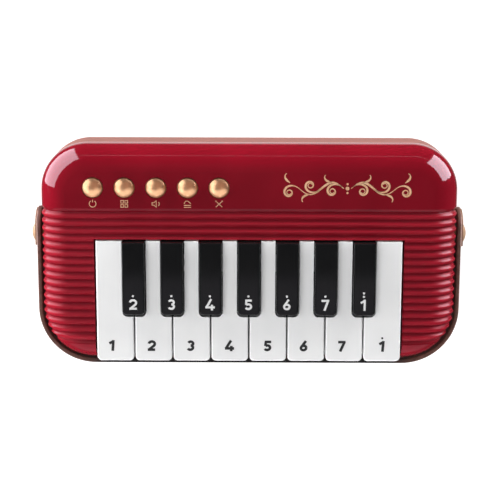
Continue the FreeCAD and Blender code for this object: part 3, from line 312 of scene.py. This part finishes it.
LOOKS = {
    "copper_plastic": dict(dark=(0.19, 0.052, 0.031), light=(0.23, 0.066, 0.041), roughness=(0.40, 0.52),
                           peel=4, drift=2600, fine=3200, Metallic=0.2),
    "black_plastic": dict(dark=(0.010, 0.010, 0.011), light=(0.018, 0.018, 0.019), roughness=(0.42, 0.62),
                          peel=12, drift=400, fine=2600),
    "white_plastic": dict(dark=(0.785, 0.785, 0.79), light=(0.82, 0.82, 0.82), roughness=(0.26, 0.36),
                          peel=2, drift=60, fine=1200),
    "black_gloss": dict(dark=(0.0045, 0.0045, 0.005), light=(0.0062, 0.0062, 0.0066),
                        roughness=(0.05, 0.08), peel=1, drift=90, fine=700),
    "gold_plastic": dict(dark=(0.76, 0.43, 0.24), light=(0.84, 0.49, 0.28), roughness=(0.34, 0.40),
                         peel=2, drift=900, fine=3000, Metallic=0.97),
    "gold_metal": dict(dark=(0.52, 0.32, 0.19), light=(0.62, 0.40, 0.25), roughness=(0.30, 0.40),
                       peel=3, drift=700, fine=2400, Metallic=0.5),
    "steel": dict(dark=(0.50, 0.50, 0.51), light=(0.62, 0.62, 0.63), roughness=(0.24, 0.38),
                  peel=3, fine=2600, Metallic=1.0),
    "board": dict(dark=(0.010, 0.075, 0.030), light=(0.018, 0.120, 0.050), roughness=(0.30, 0.45),
                  peel=6, drift=500),
    "silicone": dict(dark=(0.42, 0.43, 0.44), light=(0.52, 0.53, 0.54), roughness=(0.55, 0.70),
                     peel=5, drift=200, Subsurface_Weight=0.1),
    "paper_cone": dict(dark=(0.012, 0.012, 0.012), light=(0.035, 0.033, 0.031), roughness=(0.75, 0.95),
                       peel=40, drift=900, fine=1800),
    "magnet": dict(dark=(0.030, 0.030, 0.033), light=(0.055, 0.055, 0.058), roughness=(0.55, 0.75),
                   peel=15, drift=500),
    "wire": dict(dark=(0.22, 0.012, 0.012), light=(0.30, 0.018, 0.016), roughness=(0.35, 0.48), peel=3),
    "cell": dict(dark=(0.060, 0.062, 0.066), light=(0.085, 0.087, 0.092), roughness=(0.26, 0.36),
                 peel=2, Metallic=0.6),
    "foot_rubber": dict(dark=(0.014, 0.014, 0.014), light=(0.024, 0.024, 0.024), roughness=(0.65, 0.85),
                        peel=15, drift=600, fine=2200),
    "black_ink": dict(dark=(0.014, 0.014, 0.015), light=(0.022, 0.022, 0.023), roughness=(0.40, 0.52),
                      peel=2, drift=900),
    "white_ink": dict(dark=(0.62, 0.62, 0.62), light=(0.68, 0.68, 0.68), roughness=(0.40, 0.52),
                      peel=2, drift=900),
    "gold_foil": dict(dark=(0.70, 0.40, 0.21), light=(0.86, 0.56, 0.34), roughness=(0.30, 0.42),
                      peel=4, drift=1200, fine=4000, Metallic=0.3),
    "raw_leather": dict(dark=(0.44, 0.30, 0.25), light=(0.56, 0.40, 0.34), roughness=(0.7, 0.9),
                        peel=20, drift=1500, fine=2500),
    "tan_leather": dict(dark=(0.16, 0.080, 0.040), light=(0.24, 0.125, 0.065), roughness=(0.45, 0.6),
                        peel=25, drift=900, fine=1500),
}
MATERIALS = {name: moulded(name, **look) for name, look in LOOKS.items()}
MATERIALS["red_plastic"] = red_material()
MATERIALS["leather"] = leather_material()

for entry in frame["record"]["subparts"]:
    mesh = frame["nodes"][entry["node"]].data
    mesh.materials.clear()
    mesh.materials.append(MATERIALS[entry["material_slot"]])


# Mesh helpers

INK = 0.03 * MM
INK_SUNK = 0.02 * MM
SHARP_ANGLE = math.radians(40)

# Least cosine of half a turn, so that a sharp turn isn't drawn out to a spike
SHARPEST_MITRE = 0.5


def new_object(name, data):
    """Object that is linked into the scene."""
    made = bpy.data.objects.new(name, data)
    bpy.context.scene.collection.objects.link(made)
    return made


def mesh_object(name, bm):
    """Object from a working mesh, which is freed."""
    mesh = bpy.data.meshes.new(name)
    bm.to_mesh(mesh)
    bm.free()
    return new_object(name, mesh)


def new_piece(name, bm, material, body, smooth=False):
    """Piece of the visual model on one of the bodies."""
    bmesh.ops.recalc_face_normals(bm, faces=bm.faces)
    for face in bm.faces:
        face.smooth = smooth
    piece = mesh_object(name, bm)
    piece.data.materials.append(MATERIALS[material])
    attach(piece, body)
    return piece


def bridge(bm, first, second):
    """Faces between two closed rings of corners."""
    count = len(first)
    for k in range(count):
        after = (k + 1) % count
        bm.faces.new((first[k], first[after], second[after], second[k]))


def prism(bm, outline, top, bottom):
    """Upright block between two heights over an outline of 2-D points."""
    rings = [[bm.verts.new((*point, height)) for point in outline] for height in (top, bottom)]
    bridge(bm, *rings)
    for ring in rings:
        bm.faces.new(ring)


def ribbon(bm, path, width, z, closed=False):
    """Thin slab of ink along a path of 2-D points; width is one number or one per point."""
    count = len(path)
    widths = width if isinstance(width, list) else [width] * count
    rows = []
    for i, point in enumerate(path):
        before = path[i - 1] if closed or i else point
        after = path[(i + 1) % count] if closed or i < count - 1 else point
        ways = [step.normalized() for step in (after - point, point - before) if step.length]
        along = sum(ways, Vector((0, 0))).normalized()
        reach = widths[i] / 2 / max(SHARPEST_MITRE, along.dot(ways[0]))
        left = point + Vector((-along.y, along.x)) * reach
        right = point - Vector((-along.y, along.x)) * reach
        section = ((left, z + INK), (right, z + INK), (right, z - INK_SUNK), (left, z - INK_SUNK))
        rows.append([bm.verts.new((*corner, height)) for corner, height in section])
    for first, second in zip(rows, rows[1:]):
        bridge(bm, first, second)
    if closed:
        bridge(bm, rows[-1], rows[0])
    else:
        bm.faces.new(rows[0])
        bm.faces.new(rows[-1])


def arc(x, y, radius, start, end, steps=16):
    """Points on a circle from one angle to another, in degrees."""
    angles = [math.radians(start + (end - start) * i / steps) for i in range(steps + 1)]
    return [Vector((x + radius * math.cos(a), y + radius * math.sin(a))) for a in angles]


def line(*points):
    return [Vector(p) for p in points]


def dot(bm, centre, radius, z, sides=20):
    """Round spot of ink."""
    prism(bm, arc(*centre, radius, 0, 360, sides)[:-1], z + INK, z - INK_SUNK)


# Digits on the keys: strokes on a field one unit high, with the origin at the foot

DIGITS = {
    1: [line((0.12, 0.69), (0.42, 0.89)), line((0.42, 0.0), (0.42, 1.0))],
    2: [arc(0.35, 0.645, 0.235, 172, -38) + line((0.16, 0.13)), line((0.06, 0.12), (0.64, 0.12))],
    3: [arc(0.33, 0.685, 0.195, 155, -85), arc(0.33, 0.325, 0.205, 85, -155)],
    4: [line((0.44, 1.0), (0.11, 0.30)), line((0.0, 0.26), (0.72, 0.26)), line((0.50, 0.0), (0.50, 0.50))],
    5: [line((0.11, 0.88), (0.61, 0.88)), line((0.20, 0.92), (0.175, 0.50)),
        arc(0.34, 0.335, 0.215, 135, -152)],
    6: [arc(0.35, 0.325, 0.205, 0, 360, 28), line((0.49, 0.98), (0.185, 0.44))],
    7: [line((0.06, 0.88), (0.64, 0.88)), line((0.57, 0.92), (0.28, 0.0))],
}
DIGIT_MIDDLE = Vector((0.35, 0.5))
DIGIT_SPREAD = 1.15
STROKE_LIFT = 0.006 * MM
DOT_RADIUS = 0.43 * MM
DOT_RISE = 1.1 * MM
DOT_STEP = 1.35 * MM

# Pen is the width of a stroke, and back is how far the digit stands from the key's near end
PrintStyle = namedtuple("PrintStyle", "height slant pen back ink slot")
WHITE_PRINT = PrintStyle(4.3 * MM, 0.07, 1.04 * MM, 6.05 * MM, "black_ink", "black_plastic")
BLACK_PRINT = PrintStyle(4.4 * MM, 0.0, 0.82 * MM, 5.0 * MM, "white_ink", "white_plastic")

# How far each digit stands to the right of its key's middle, in millimetres
WHITE_SHIFTS = (-1.4, -0.8, -0.4, -0.1, -0.1, -0.8, -0.9, 0.1)
BLACK_SHIFTS = (-0.2,) * BLACK_KEYS


def key_digit(key, step, shift, style):
    """Printed digit of a step of the scale, with a dot above it for each octave over the first."""
    octave, note = divmod(step, len(DIGITS))
    low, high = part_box(key)
    centre = Vector(((low.x + high.x) / 2 + shift, low.y + style.back))
    bm = bmesh.new()
    shape = Matrix(((DIGIT_SPREAD, style.slant), (0, 1))) * style.height
    for layer, stroke in enumerate(DIGITS[note + 1]):
        path = [centre + shape @ (point - DIGIT_MIDDLE) for point in stroke]
        ribbon(bm, path, style.pen, high.z + layer * STROKE_LIFT)
    for i in range(octave):
        rise = style.height / 2 + DOT_RISE + i * DOT_STEP
        dot(bm, centre + Vector((0, rise)), DOT_RADIUS, high.z)
    new_piece(f"{key}_digit", bm, style.ink, f"{key}_lever")


def key_digits():
    """White keys count up from the first note, black keys from the second note of the next octave."""
    for i, shift in enumerate(WHITE_SHIFTS):
        key_digit(f"white_key_{i + 1}", i, shift * MM, WHITE_PRINT)
    for i, shift in enumerate(BLACK_SHIFTS):
        key_digit(f"black_key_{i + 1}", len(DIGITS) + 1 + i, shift * MM, BLACK_PRINT)


# Round inner corners on the white keys, where the black keys' round ends stand

NOTCH_SIDE = 0.4 * MM
NOTCH_FRONT = 0.7 * MM
BLACK_CORNER = 1.6 * MM
CORNER_DEEP = 3.0 * MM
CORNER_STEPS = 10


def corner_filler(name, corner, side, z, body):
    """Block between a square inner corner and a round one; side is 1 for a notch open to the right."""
    across = side * (BLACK_CORNER + NOTCH_SIDE)
    along = BLACK_CORNER + NOTCH_FRONT
    round_corner = arc(1, 1, 1, 270, 180, CORNER_STEPS)
    outline = [corner] + [corner + Vector((across * p.x, along * p.y)) for p in round_corner]
    bm = bmesh.new()
    prism(bm, outline, z, z - CORNER_DEEP)
    new_piece(name, bm, "white_plastic", body)


def key_corners():
    for i in range(1, BLACK_KEYS + 1):
        low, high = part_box(f"black_key_{i}")
        front = low.y - NOTCH_FRONT
        sides = ((i, "right", low.x - NOTCH_SIDE, 1), (i + 1, "left", high.x + NOTCH_SIDE, -1))
        for number, word, x, side in sides:
            key = f"white_key_{number}"
            corner = Vector((x, front))
            corner_filler(f"{key}_{word}_corner", corner, side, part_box(key)[1].z, f"{key}_lever")


# Pictograms under the buttons

MARK = 1.5 * MM
MARK_LINE = 0.27 * MM
MARK_BELOW = 6.15 * MM
Mark = namedtuple("Mark", "open_strokes closed_strokes spots", defaults=((), ()))


def button_marks():
    """Sign of each button on a field from -1 to 1."""
    ring = arc(0, 0, 0.85, 125, 415, 28)
    square = line((-0.34, -0.34), (0.34, -0.34), (0.34, 0.34), (-0.34, 0.34))
    grid = [[p + Vector((x, y)) for p in square] for x in (-0.52, 0.52) for y in (-0.52, 0.52)]
    horn = line((-0.95, -0.32), (-0.5, -0.32), (0.1, -0.8), (0.1, 0.8), (-0.5, 0.32), (-0.95, 0.32))
    keys = [line((-0.9, -0.85), (0.9, -0.85)), line((-0.9, -0.35), (0.9, -0.35)),
            line((-0.85, 0.1), (-0.45, 0.75), (0.1, 0.75), (0.85, 0.1))]
    sticks = [line((-0.8, -0.75), (0.8, 0.75)), line((-0.8, 0.75), (0.8, -0.75))]
    return {
        "power": Mark([ring, line((0, 0.35), (0, 1.0))]),
        "tone": Mark([], grid),
        "volume": Mark([arc(0.25, 0, 0.62, -50, 50)], [horn]),
        "demo": Mark(keys),
        "rhythm": Mark(sticks, [], line((-0.8, 0.75), (0.8, 0.75))),
    }


def pictograms():
    for name, mark in button_marks().items():
        centre = middle(button_boxes[name]).to_2d() - Vector((0, MARK_BELOW))
        bm = bmesh.new()
        for strokes, closed in ((mark.open_strokes, False), (mark.closed_strokes, True)):
            for stroke in strokes:
                ribbon(bm, [centre + p * MARK for p in stroke], MARK_LINE, PANEL_Z, closed)
        for spot in mark.spots:
            dot(bm, centre + spot * MARK, MARK_LINE, PANEL_Z)
        new_piece(f"{name}_mark", bm, "gold_foil", "case")


# Scrolling vine on the panel, the same on both sides of its middle

ORNAMENT_X = 37.2 * MM
ORNAMENT_BELOW_FAR = 16.0 * MM
VINE_WAVE = 17.0 * MM
VINE_RISE = 2.3 * MM
VINE_START = 1.4 * MM
VINE_THIN = 0.28 * MM
VINE_THICK = 0.8 * MM
VINE_STEPS = 60
WIDEST_AT = 0.35

# Where curls and leaves leave the stem, as shares of its wave, and the side that they bend to
CURLS = ((0.04, -1), (0.53, 1), (1.0, -1))
CURL_BENDS = (180, 1320)
CURL_LENGTH = 17.0 * MM
LEAVES = ((0.27, 1), (0.77, -1), (1.2, 1))
LEAF_BENDS = (20, 1100)
LEAF_LENGTH = 4.6 * MM
LEAF_LEAN = 0.35
SCROLL_STEPS = 72
SCROLL_TIGHTENS = 1.4

# Height above the vine's middle and radius of each dot between its halves
MIDDLE_DOTS = ((0.0, 0.7 * MM), (1.7 * MM, 0.42 * MM), (-1.7 * MM, 0.42 * MM))


def vine(share):
    """Point on the wavy stem at a share of its wave, and the way that the stem runs there."""
    turn = 2 * math.pi * share
    slope = VINE_RISE * 2 * math.pi / VINE_WAVE * math.cos(turn)
    return Vector((VINE_START + share * VINE_WAVE, VINE_RISE * math.sin(turn))), math.atan(slope)


def scroll(point, heading, side, bends, length):
    """Curve to one side whose bend, in radians per metre, grows from the first to the second."""
    first, last = bends
    step = length / SCROLL_STEPS
    points = [point]
    for i in range(SCROLL_STEPS):
        share = (i + 0.5) / SCROLL_STEPS
        heading += side * (first + (last - first) * share**SCROLL_TIGHTENS) * step
        points.append(points[-1] + Vector((math.cos(heading), math.sin(heading))) * step)
    return points


def swelling(count):
    """Pen widths along a stroke that swell from thin to thick and back."""
    widths = []
    for i in range(count):
        share = i / (count - 1)
        rise = share / WIDEST_AT if share < WIDEST_AT else (1 - share) / (1 - WIDEST_AT)
        widths.append(VINE_THIN + (VINE_THICK - VINE_THIN) * math.sin(rise * math.pi / 2) ** 2)
    return widths


def ornament():
    centre = Vector((ORNAMENT_X, CASE_FAR - ORNAMENT_BELOW_FAR))
    strokes = [[vine(i / VINE_STEPS)[0] for i in range(VINE_STEPS + 1)]]
    for share, side in CURLS:
        place, heading = vine(share)
        strokes.append(scroll(place, heading, side, CURL_BENDS, CURL_LENGTH))
    for share, side in LEAVES:
        place, heading = vine(share)
        strokes.append(scroll(place, heading + side * LEAF_LEAN, side, LEAF_BENDS, LEAF_LENGTH))
    bm = bmesh.new()
    for stroke in strokes:
        for sign in (1, -1):
            path = [centre + Vector((sign * p.x, p.y)) for p in stroke]
            ribbon(bm, path, swelling(len(path)), PANEL_Z)
    for height, radius in MIDDLE_DOTS:
        dot(bm, centre + Vector((0, height)), radius, PANEL_Z)
    new_piece("panel_ornament", bm, "gold_foil", "case")


# Leather strap with softened edges, in the place of its plain solid, and a doubled tab at each end

TAB_THICK = 0.7 * MM
TAB_BELOW = 3.9 * MM
TAB_SHORT = 0.6 * MM
TAB_SOFT = 0.3 * MM
CORE_THICK = 0.8 * MM
CORE_INSET = 0.02 * MM
CORE_SOFT = TAB_SOFT / 2
STRAP_THICK = 1.6 * MM
STRAP_SOFT = 0.5 * MM
STRAP_BEND = 22.3 * MM
STRAP_SAG = 0.35 * MM
STRAP_TIP = strap_box[1].y
STRAP_TAB_X = strap_box[1].x
STRAP_OUT_X = STRAP_TAB_X - TAB_THICK
STRAP_HALF = (strap_box[1].z - strap_box[0].z) / 2
STRAP_Z = middle(strap_box).z
STUD_ROW = middle(stud_box).y
EYE_RADIUS = 3.55 * MM
EYE_SIDES = 48
PUNCH_LENGTH = 2.2 * STRAP_TAB_X
TIP_STEPS = 14
SIDE_STEPS = 8
BEND_STEPS = 24
NEAR_STEPS = 8
EDGE_STEPS = 5

# Most of a section's half width that its rounded edge may take
SOFTEST = 0.9

# Place on the outer face, the way that it faces there, and the distance from the nearer tip
Station = namedtuple("Station", "place facing tip")


def tip_width(tip, half):
    """Half width of a round end at a distance from its tip."""
    return math.sqrt(max(0.0, half**2 - max(0.0, half - tip) ** 2))


def tip_distances():
    """Distances from the tip of the sections through a round end."""
    return [STRAP_HALF * (1 - math.cos(math.pi / 2 * i / TIP_STEPS)) for i in range(1, TIP_STEPS + 1)]


def strap_stations():
    """Stations from the right tip round the near side to the left tip."""
    near = strap_box[0].y - STRAP_SAG
    corner = Vector((STRAP_OUT_X - STRAP_BEND, near + STRAP_BEND))
    straight = STRAP_TIP - STRAP_HALF - corner.y
    tips = tip_distances() + [STRAP_HALF + straight * i / SIDE_STEPS for i in range(1, SIDE_STEPS + 1)]
    right = [Station(Vector((STRAP_OUT_X, STRAP_TIP - tip)), Vector((1, 0)), tip) for tip in tips]
    for facing in arc(0, 0, 1, 0, -90, BEND_STEPS)[1:]:
        right.append(Station(corner + facing * STRAP_BEND, facing, STRAP_HALF))
    for i in range(1, NEAR_STEPS):
        place = Vector((corner.x * (1 - i / NEAR_STEPS), near))
        right.append(Station(place, Vector((0, -1)), STRAP_HALF))
    flip = Vector((-1, 1))
    left = [Station(place * flip, facing * flip, tip) for place, facing, tip in reversed(right)]
    return right + [Station(Vector((0, near)), Vector((0, -1)), STRAP_HALF)] + left


def tab_stations(side, out_x, tip_y, foot_y):
    """Stations along one short layer from its round tip down to its straight foot."""
    tips = tip_distances() + [tip_y - foot_y]
    return [Station(Vector((side * out_x, tip_y - tip)), Vector((side, 0)), tip) for tip in tips]


def soft_profile(half_width, thick, soft):
    """Rounded section of the band: depth below the outer face and height from its middle."""
    soft = min(soft, half_width * SOFTEST, thick / 2)
    high = half_width - soft
    deep = thick - soft
    points = []
    corners = ((soft, high, 90), (soft, -high, 180), (deep, -high, 270), (deep, high, 0))
    for depth, height, start in corners:
        points += arc(depth, height, soft, start, start + 90, EDGE_STEPS)
    return points


def punch_holes(band):
    """Cut the round holes for the eyelets through both ends."""
    bm = bmesh.new()
    turned = Matrix.Translation((0, STUD_ROW, STRAP_Z)) @ Matrix.Rotation(math.pi / 2, 4, "Y")
    bmesh.ops.create_cone(bm, cap_ends=True, segments=EYE_SIDES, radius1=EYE_RADIUS, radius2=EYE_RADIUS,
                          depth=PUNCH_LENGTH, matrix=turned)
    punch = mesh_object("punch", bm)
    cutting = band.modifiers.new("holes", "BOOLEAN")
    cutting.object = punch
    cutting.operation = "DIFFERENCE"
    evaluated = band.evaluated_get(bpy.context.evaluated_depsgraph_get())
    cut_mesh = bpy.data.meshes.new_from_object(evaluated)
    band.modifiers.clear()
    band.data = cut_mesh
    bpy.data.objects.remove(punch)


def leather_layer(name, stations, half, thick, soft, material):
    """Band swept along its stations, with the stud holes cut through."""
    bm = bmesh.new()
    rings = []
    for place, facing, tip in stations:
        section = soft_profile(tip_width(tip, half), thick, soft)
        corners = [(*(place - facing * depth), STRAP_Z + height) for depth, height in section]
        rings.append([bm.verts.new(corner) for corner in corners])
    for first, second in zip(rings, rings[1:]):
        bridge(bm, first, second)
    bm.faces.new(rings[0])
    bm.faces.new(rings[-1])
    layer = new_piece(name, bm, material, "strap", smooth=True)
    punch_holes(layer)
    layer.data.set_sharp_from_angle(angle=SHARP_ANGLE)
    return layer


def strap():
    band = leather_layer("leather_strap", strap_stations(), STRAP_HALF, STRAP_THICK, STRAP_SOFT, "leather")
    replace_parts(band, "strap_band")
    tip_y = STRAP_TIP - TAB_SHORT
    foot_y = STUD_ROW - TAB_BELOW
    core_x = STRAP_OUT_X + CORE_THICK / 2
    core_half = STRAP_HALF - CORE_INSET
    for side, word in ((-1, "left"), (1, "right")):
        tab = tab_stations(side, STRAP_TAB_X, tip_y, foot_y)
        leather_layer(f"{word}_strap_tab", tab, STRAP_HALF, TAB_THICK, TAB_SOFT, "tan_leather")
        core = tab_stations(side, core_x, tip_y - CORE_INSET, foot_y + CORE_INSET)
        leather_layer(f"{word}_strap_core", core, core_half, CORE_THICK, CORE_SOFT, "raw_leather")


# Silicone strips with contact domes under the keys and buttons

STRIP_THICK = 0.7 * MM
DOME_FOOT = 2.8 * MM
DOME_TOP = 1.7 * MM
DOME_SIDES = 40


def dome_strip(node, presses):
    """Strip in the place of its CAD node, with a row of domes, one for each joint in presses."""
    low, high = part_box(node)
    edge = (high.y - low.y) / 2
    foot = low.z + STRIP_THICK
    rise = high.z - foot
    bm = bmesh.new()
    size = Matrix.Diagonal((high.x - low.x, high.y - low.y, STRIP_THICK, 1))
    place = Matrix.Translation(((low.x + high.x) / 2, low.y + edge, low.z + STRIP_THICK / 2))
    bmesh.ops.create_cube(bm, size=1.0, matrix=place @ size)
    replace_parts(new_piece(f"{node}_base", bm, "silicone", "case"), node)
    first = low.x + edge
    last = high.x - edge
    for i, joint in enumerate(presses):
        centre = Vector((first + (last - first) * i / (len(presses) - 1), low.y + edge, foot))
        upright = Matrix.Translation(centre + Vector((0, 0, rise / 2)))
        bm = bmesh.new()
        bmesh.ops.create_cone(bm, cap_ends=True, segments=DOME_SIDES, radius1=DOME_FOOT, radius2=DOME_TOP,
                              depth=rise, matrix=upright)
        dome = new_piece(f"{node}_dome_{i + 1}", bm, "silicone", "case", smooth=True)
        dome.data.set_sharp_from_angle(angle=SHARP_ANGLE)
        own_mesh(dome)


def dome_strips():
    """One dome under each key, from left to right, and one under each button."""
    keys = ["white_key_1"]
    for i in range(1, BLACK_KEYS + 1):
        keys += [f"black_key_{i}", f"white_key_{i + 1}"]
    dome_strip("key_dome_strip", [f"{key}_press" for key in keys])
    dome_strip("button_dome_strip", [f"{name}_button_press" for name in button_boxes])


# Camera and floor

TARGET = Vector((-0.05, 3.8, 36.0)) * MM
DISTANCE = 541.5 * MM
TILT = math.radians(12.0)
ROLL = math.radians(0.2)
LENS = 102.0
SENSOR = 36.0
CLIP_START = 10.0 * MM
FLOOR_HALF = 3.0
FLOOR_LOOK = dict(dark=(0.50, 0.50, 0.50), light=(0.52, 0.52, 0.52), roughness=(0.7, 0.8), drift=3,
                  Emission_Color=(1, 1, 1, 1), Emission_Strength=0.8)


def camera():
    data = bpy.data.cameras.new("camera")
    data.lens = LENS
    data.sensor_width = SENSOR
    data.clip_start = CLIP_START
    eye = new_object("camera", data)
    eye.location = TARGET + Vector((0, math.sin(TILT), math.cos(TILT))) * DISTANCE
    eye.rotation_euler = (-TILT, 0, ROLL)
    bpy.context.scene.camera = eye


def floor():
    bm = bmesh.new()
    bmesh.ops.create_grid(bm, x_segments=1, y_segments=1, size=FLOOR_HALF)
    plane = mesh_object("floor", bm)
    plane.data.materials.append(moulded("floor", **FLOOR_LOOK))
    plane.visible_glossy = False


# Lights: boxes that gloss shows, fills that it doesn't, and boxes for the gold buttons alone

BOX_DISTANCE = 1.2
BOX_TINT = (1.0, 0.93, 1.06)
FILL_DISTANCE = 1.5
FILL_SIZE = (1.0, 0.6)
GOLD_DISTANCE = 1.0
WHITE_LIGHT = (1.0, 1.0, 1.0)
WARM_LIGHT = (1.0, 0.58, 0.48)

# Name, azimuth, elevation, spread and rise in degrees, radiance
CORNER_BOXES = (
    ("left_box", 147, 5.5, 64, 71, 7.2),
    ("right_box", 31, 9, 38, 60, 9.5),
    ("far_line", 90, 24, 130, 0.7, 4.6),
    ("near_top", 270, 67, 40, 20, 0.25),
    ("near_low", 270, 15, 90, 50, 0.40),
)
# Name, azimuth and elevation in degrees, brightness, distance, size
FILLS = (
    ("left_fill", 180, 0, 3.1, FILL_DISTANCE, FILL_SIZE),
    ("right_fill", 40, 0, 2.9, FILL_DISTANCE, FILL_SIZE),
    ("far_fill", 130, 2, 1.4, FILL_DISTANCE, FILL_SIZE),
    ("near_fill", 270, 3, 1.9, FILL_DISTANCE, FILL_SIZE),
    ("top_fill", 190, 70, 0.94, 0.95, (1.2, 1.0)),
)
# Name, azimuth and elevation in degrees, size, radiance, tint
GOLD_BOXES = (
    ("gold_left", 170, 22, (2.2, 1.1), 2.1, WHITE_LIGHT),
    ("gold_near", 280, 36, (2.8, 1.4), 1.3, WHITE_LIGHT),
    ("gold_far", 50, 2, (2.4, 0.25), 1.2, WHITE_LIGHT),
    ("gold_top", 50, 60, (1.4, 1.4), 0.32, WARM_LIGHT),
)

# Heights of the surround, from 0 straight below to 1 straight above, with the brightness there
SURROUND = ((0.05, 1.0), (0.11, 0.06))


def soft_box(name, azimuth, elevation, distance, size, power):
    """Area light aimed at the object from a direction in degrees."""
    around = math.radians(azimuth)
    up = math.radians(elevation)
    data = bpy.data.lights.new(name, "AREA")
    data.shape = "RECTANGLE"
    data.size, data.size_y = size
    data.energy = power
    lamp = new_object(name, data)
    level = Vector((math.cos(around), math.sin(around), 0)) * math.cos(up)
    lamp.location = (level + Vector((0, 0, math.sin(up)))) * distance
    lamp.rotation_euler = (-lamp.location).to_track_quat("-Z", "Y").to_euler()
    return lamp


def box_power(radiance, size):
    """Power that gives a box of this size its radiance."""
    return radiance * math.pi * size[0] * size[1]


def corner_box(name, azimuth, elevation, spread, rise, radiance):
    """Soft box that only gloss shows; its spread and rise are in degrees."""
    size = [2 * BOX_DISTANCE * math.tan(math.radians(span / 2)) for span in (spread, rise)]
    lamp = soft_box(name, azimuth, elevation, BOX_DISTANCE, size, box_power(radiance, size))
    lamp.data.color = BOX_TINT
    lamp.visible_diffuse = False
    return lamp


def fill(name, azimuth, elevation, brightness, distance, size):
    """Light that gloss doesn't show; brightness is what it adds to a white face turned to it."""
    lamp = soft_box(name, azimuth, elevation, distance, size, brightness * math.pi**2 * distance**2)
    lamp.visible_glossy = False


def gold_lights(boxes):
    """Soft boxes that only the gold buttons take, in the place of the corner boxes."""
    gold = bpy.data.collections.new("gold_pieces")
    others = bpy.data.collections.new("all_but_gold")
    for entry in frame["record"]["subparts"]:
        if entry["material_slot"] == "gold_plastic":
            gold.objects.link(frame["nodes"][entry["node"]])
            others.objects.link(frame["nodes"][entry["node"]])
    for member in others.collection_objects:
        member.light_linking.link_state = "EXCLUDE"
    for box in boxes:
        box.light_linking.receiver_collection = others
    for name, azimuth, elevation, size, radiance, tint in GOLD_BOXES:
        lamp = soft_box(name, azimuth, elevation, GOLD_DISTANCE, size, box_power(radiance, size))
        lamp.data.color = tint
        lamp.light_linking.receiver_collection = gold


def surround():
    """Dark surround, with white straight below for the edges that turn away."""
    world = bpy.data.worlds.new("studio")
    world.use_nodes = True
    nodes = world.node_tree.nodes
    links = world.node_tree.links
    direction = nodes.new("ShaderNodeTexCoord")
    split = nodes.new("ShaderNodeSeparateXYZ")
    spread = nodes.new("ShaderNodeMapRange")
    spread.inputs["From Min"].default_value = -1.0
    ramp = nodes.new("ShaderNodeValToRGB")
    for stop, (height, level) in zip(ramp.color_ramp.elements, SURROUND):
        stop.position = height
        stop.color = (level, level, level, 1)
    links.new(direction.outputs["Generated"], split.inputs["Vector"])
    links.new(split.outputs["Z"], spread.inputs["Value"])
    links.new(spread.outputs["Result"], ramp.inputs["Fac"])
    links.new(ramp.outputs["Color"], nodes["Background"].inputs["Color"])
    bpy.context.scene.world = world


def studio():
    surround()
    bpy.context.scene.view_settings.view_transform = "Standard"
    boxes = [corner_box(*row) for row in CORNER_BOXES]
    for row in FILLS:
        fill(*row)
    gold_lights(boxes)


key_digits()
key_corners()
pictograms()
ornament()
strap()
dome_strips()
camera()
floor()
studio()
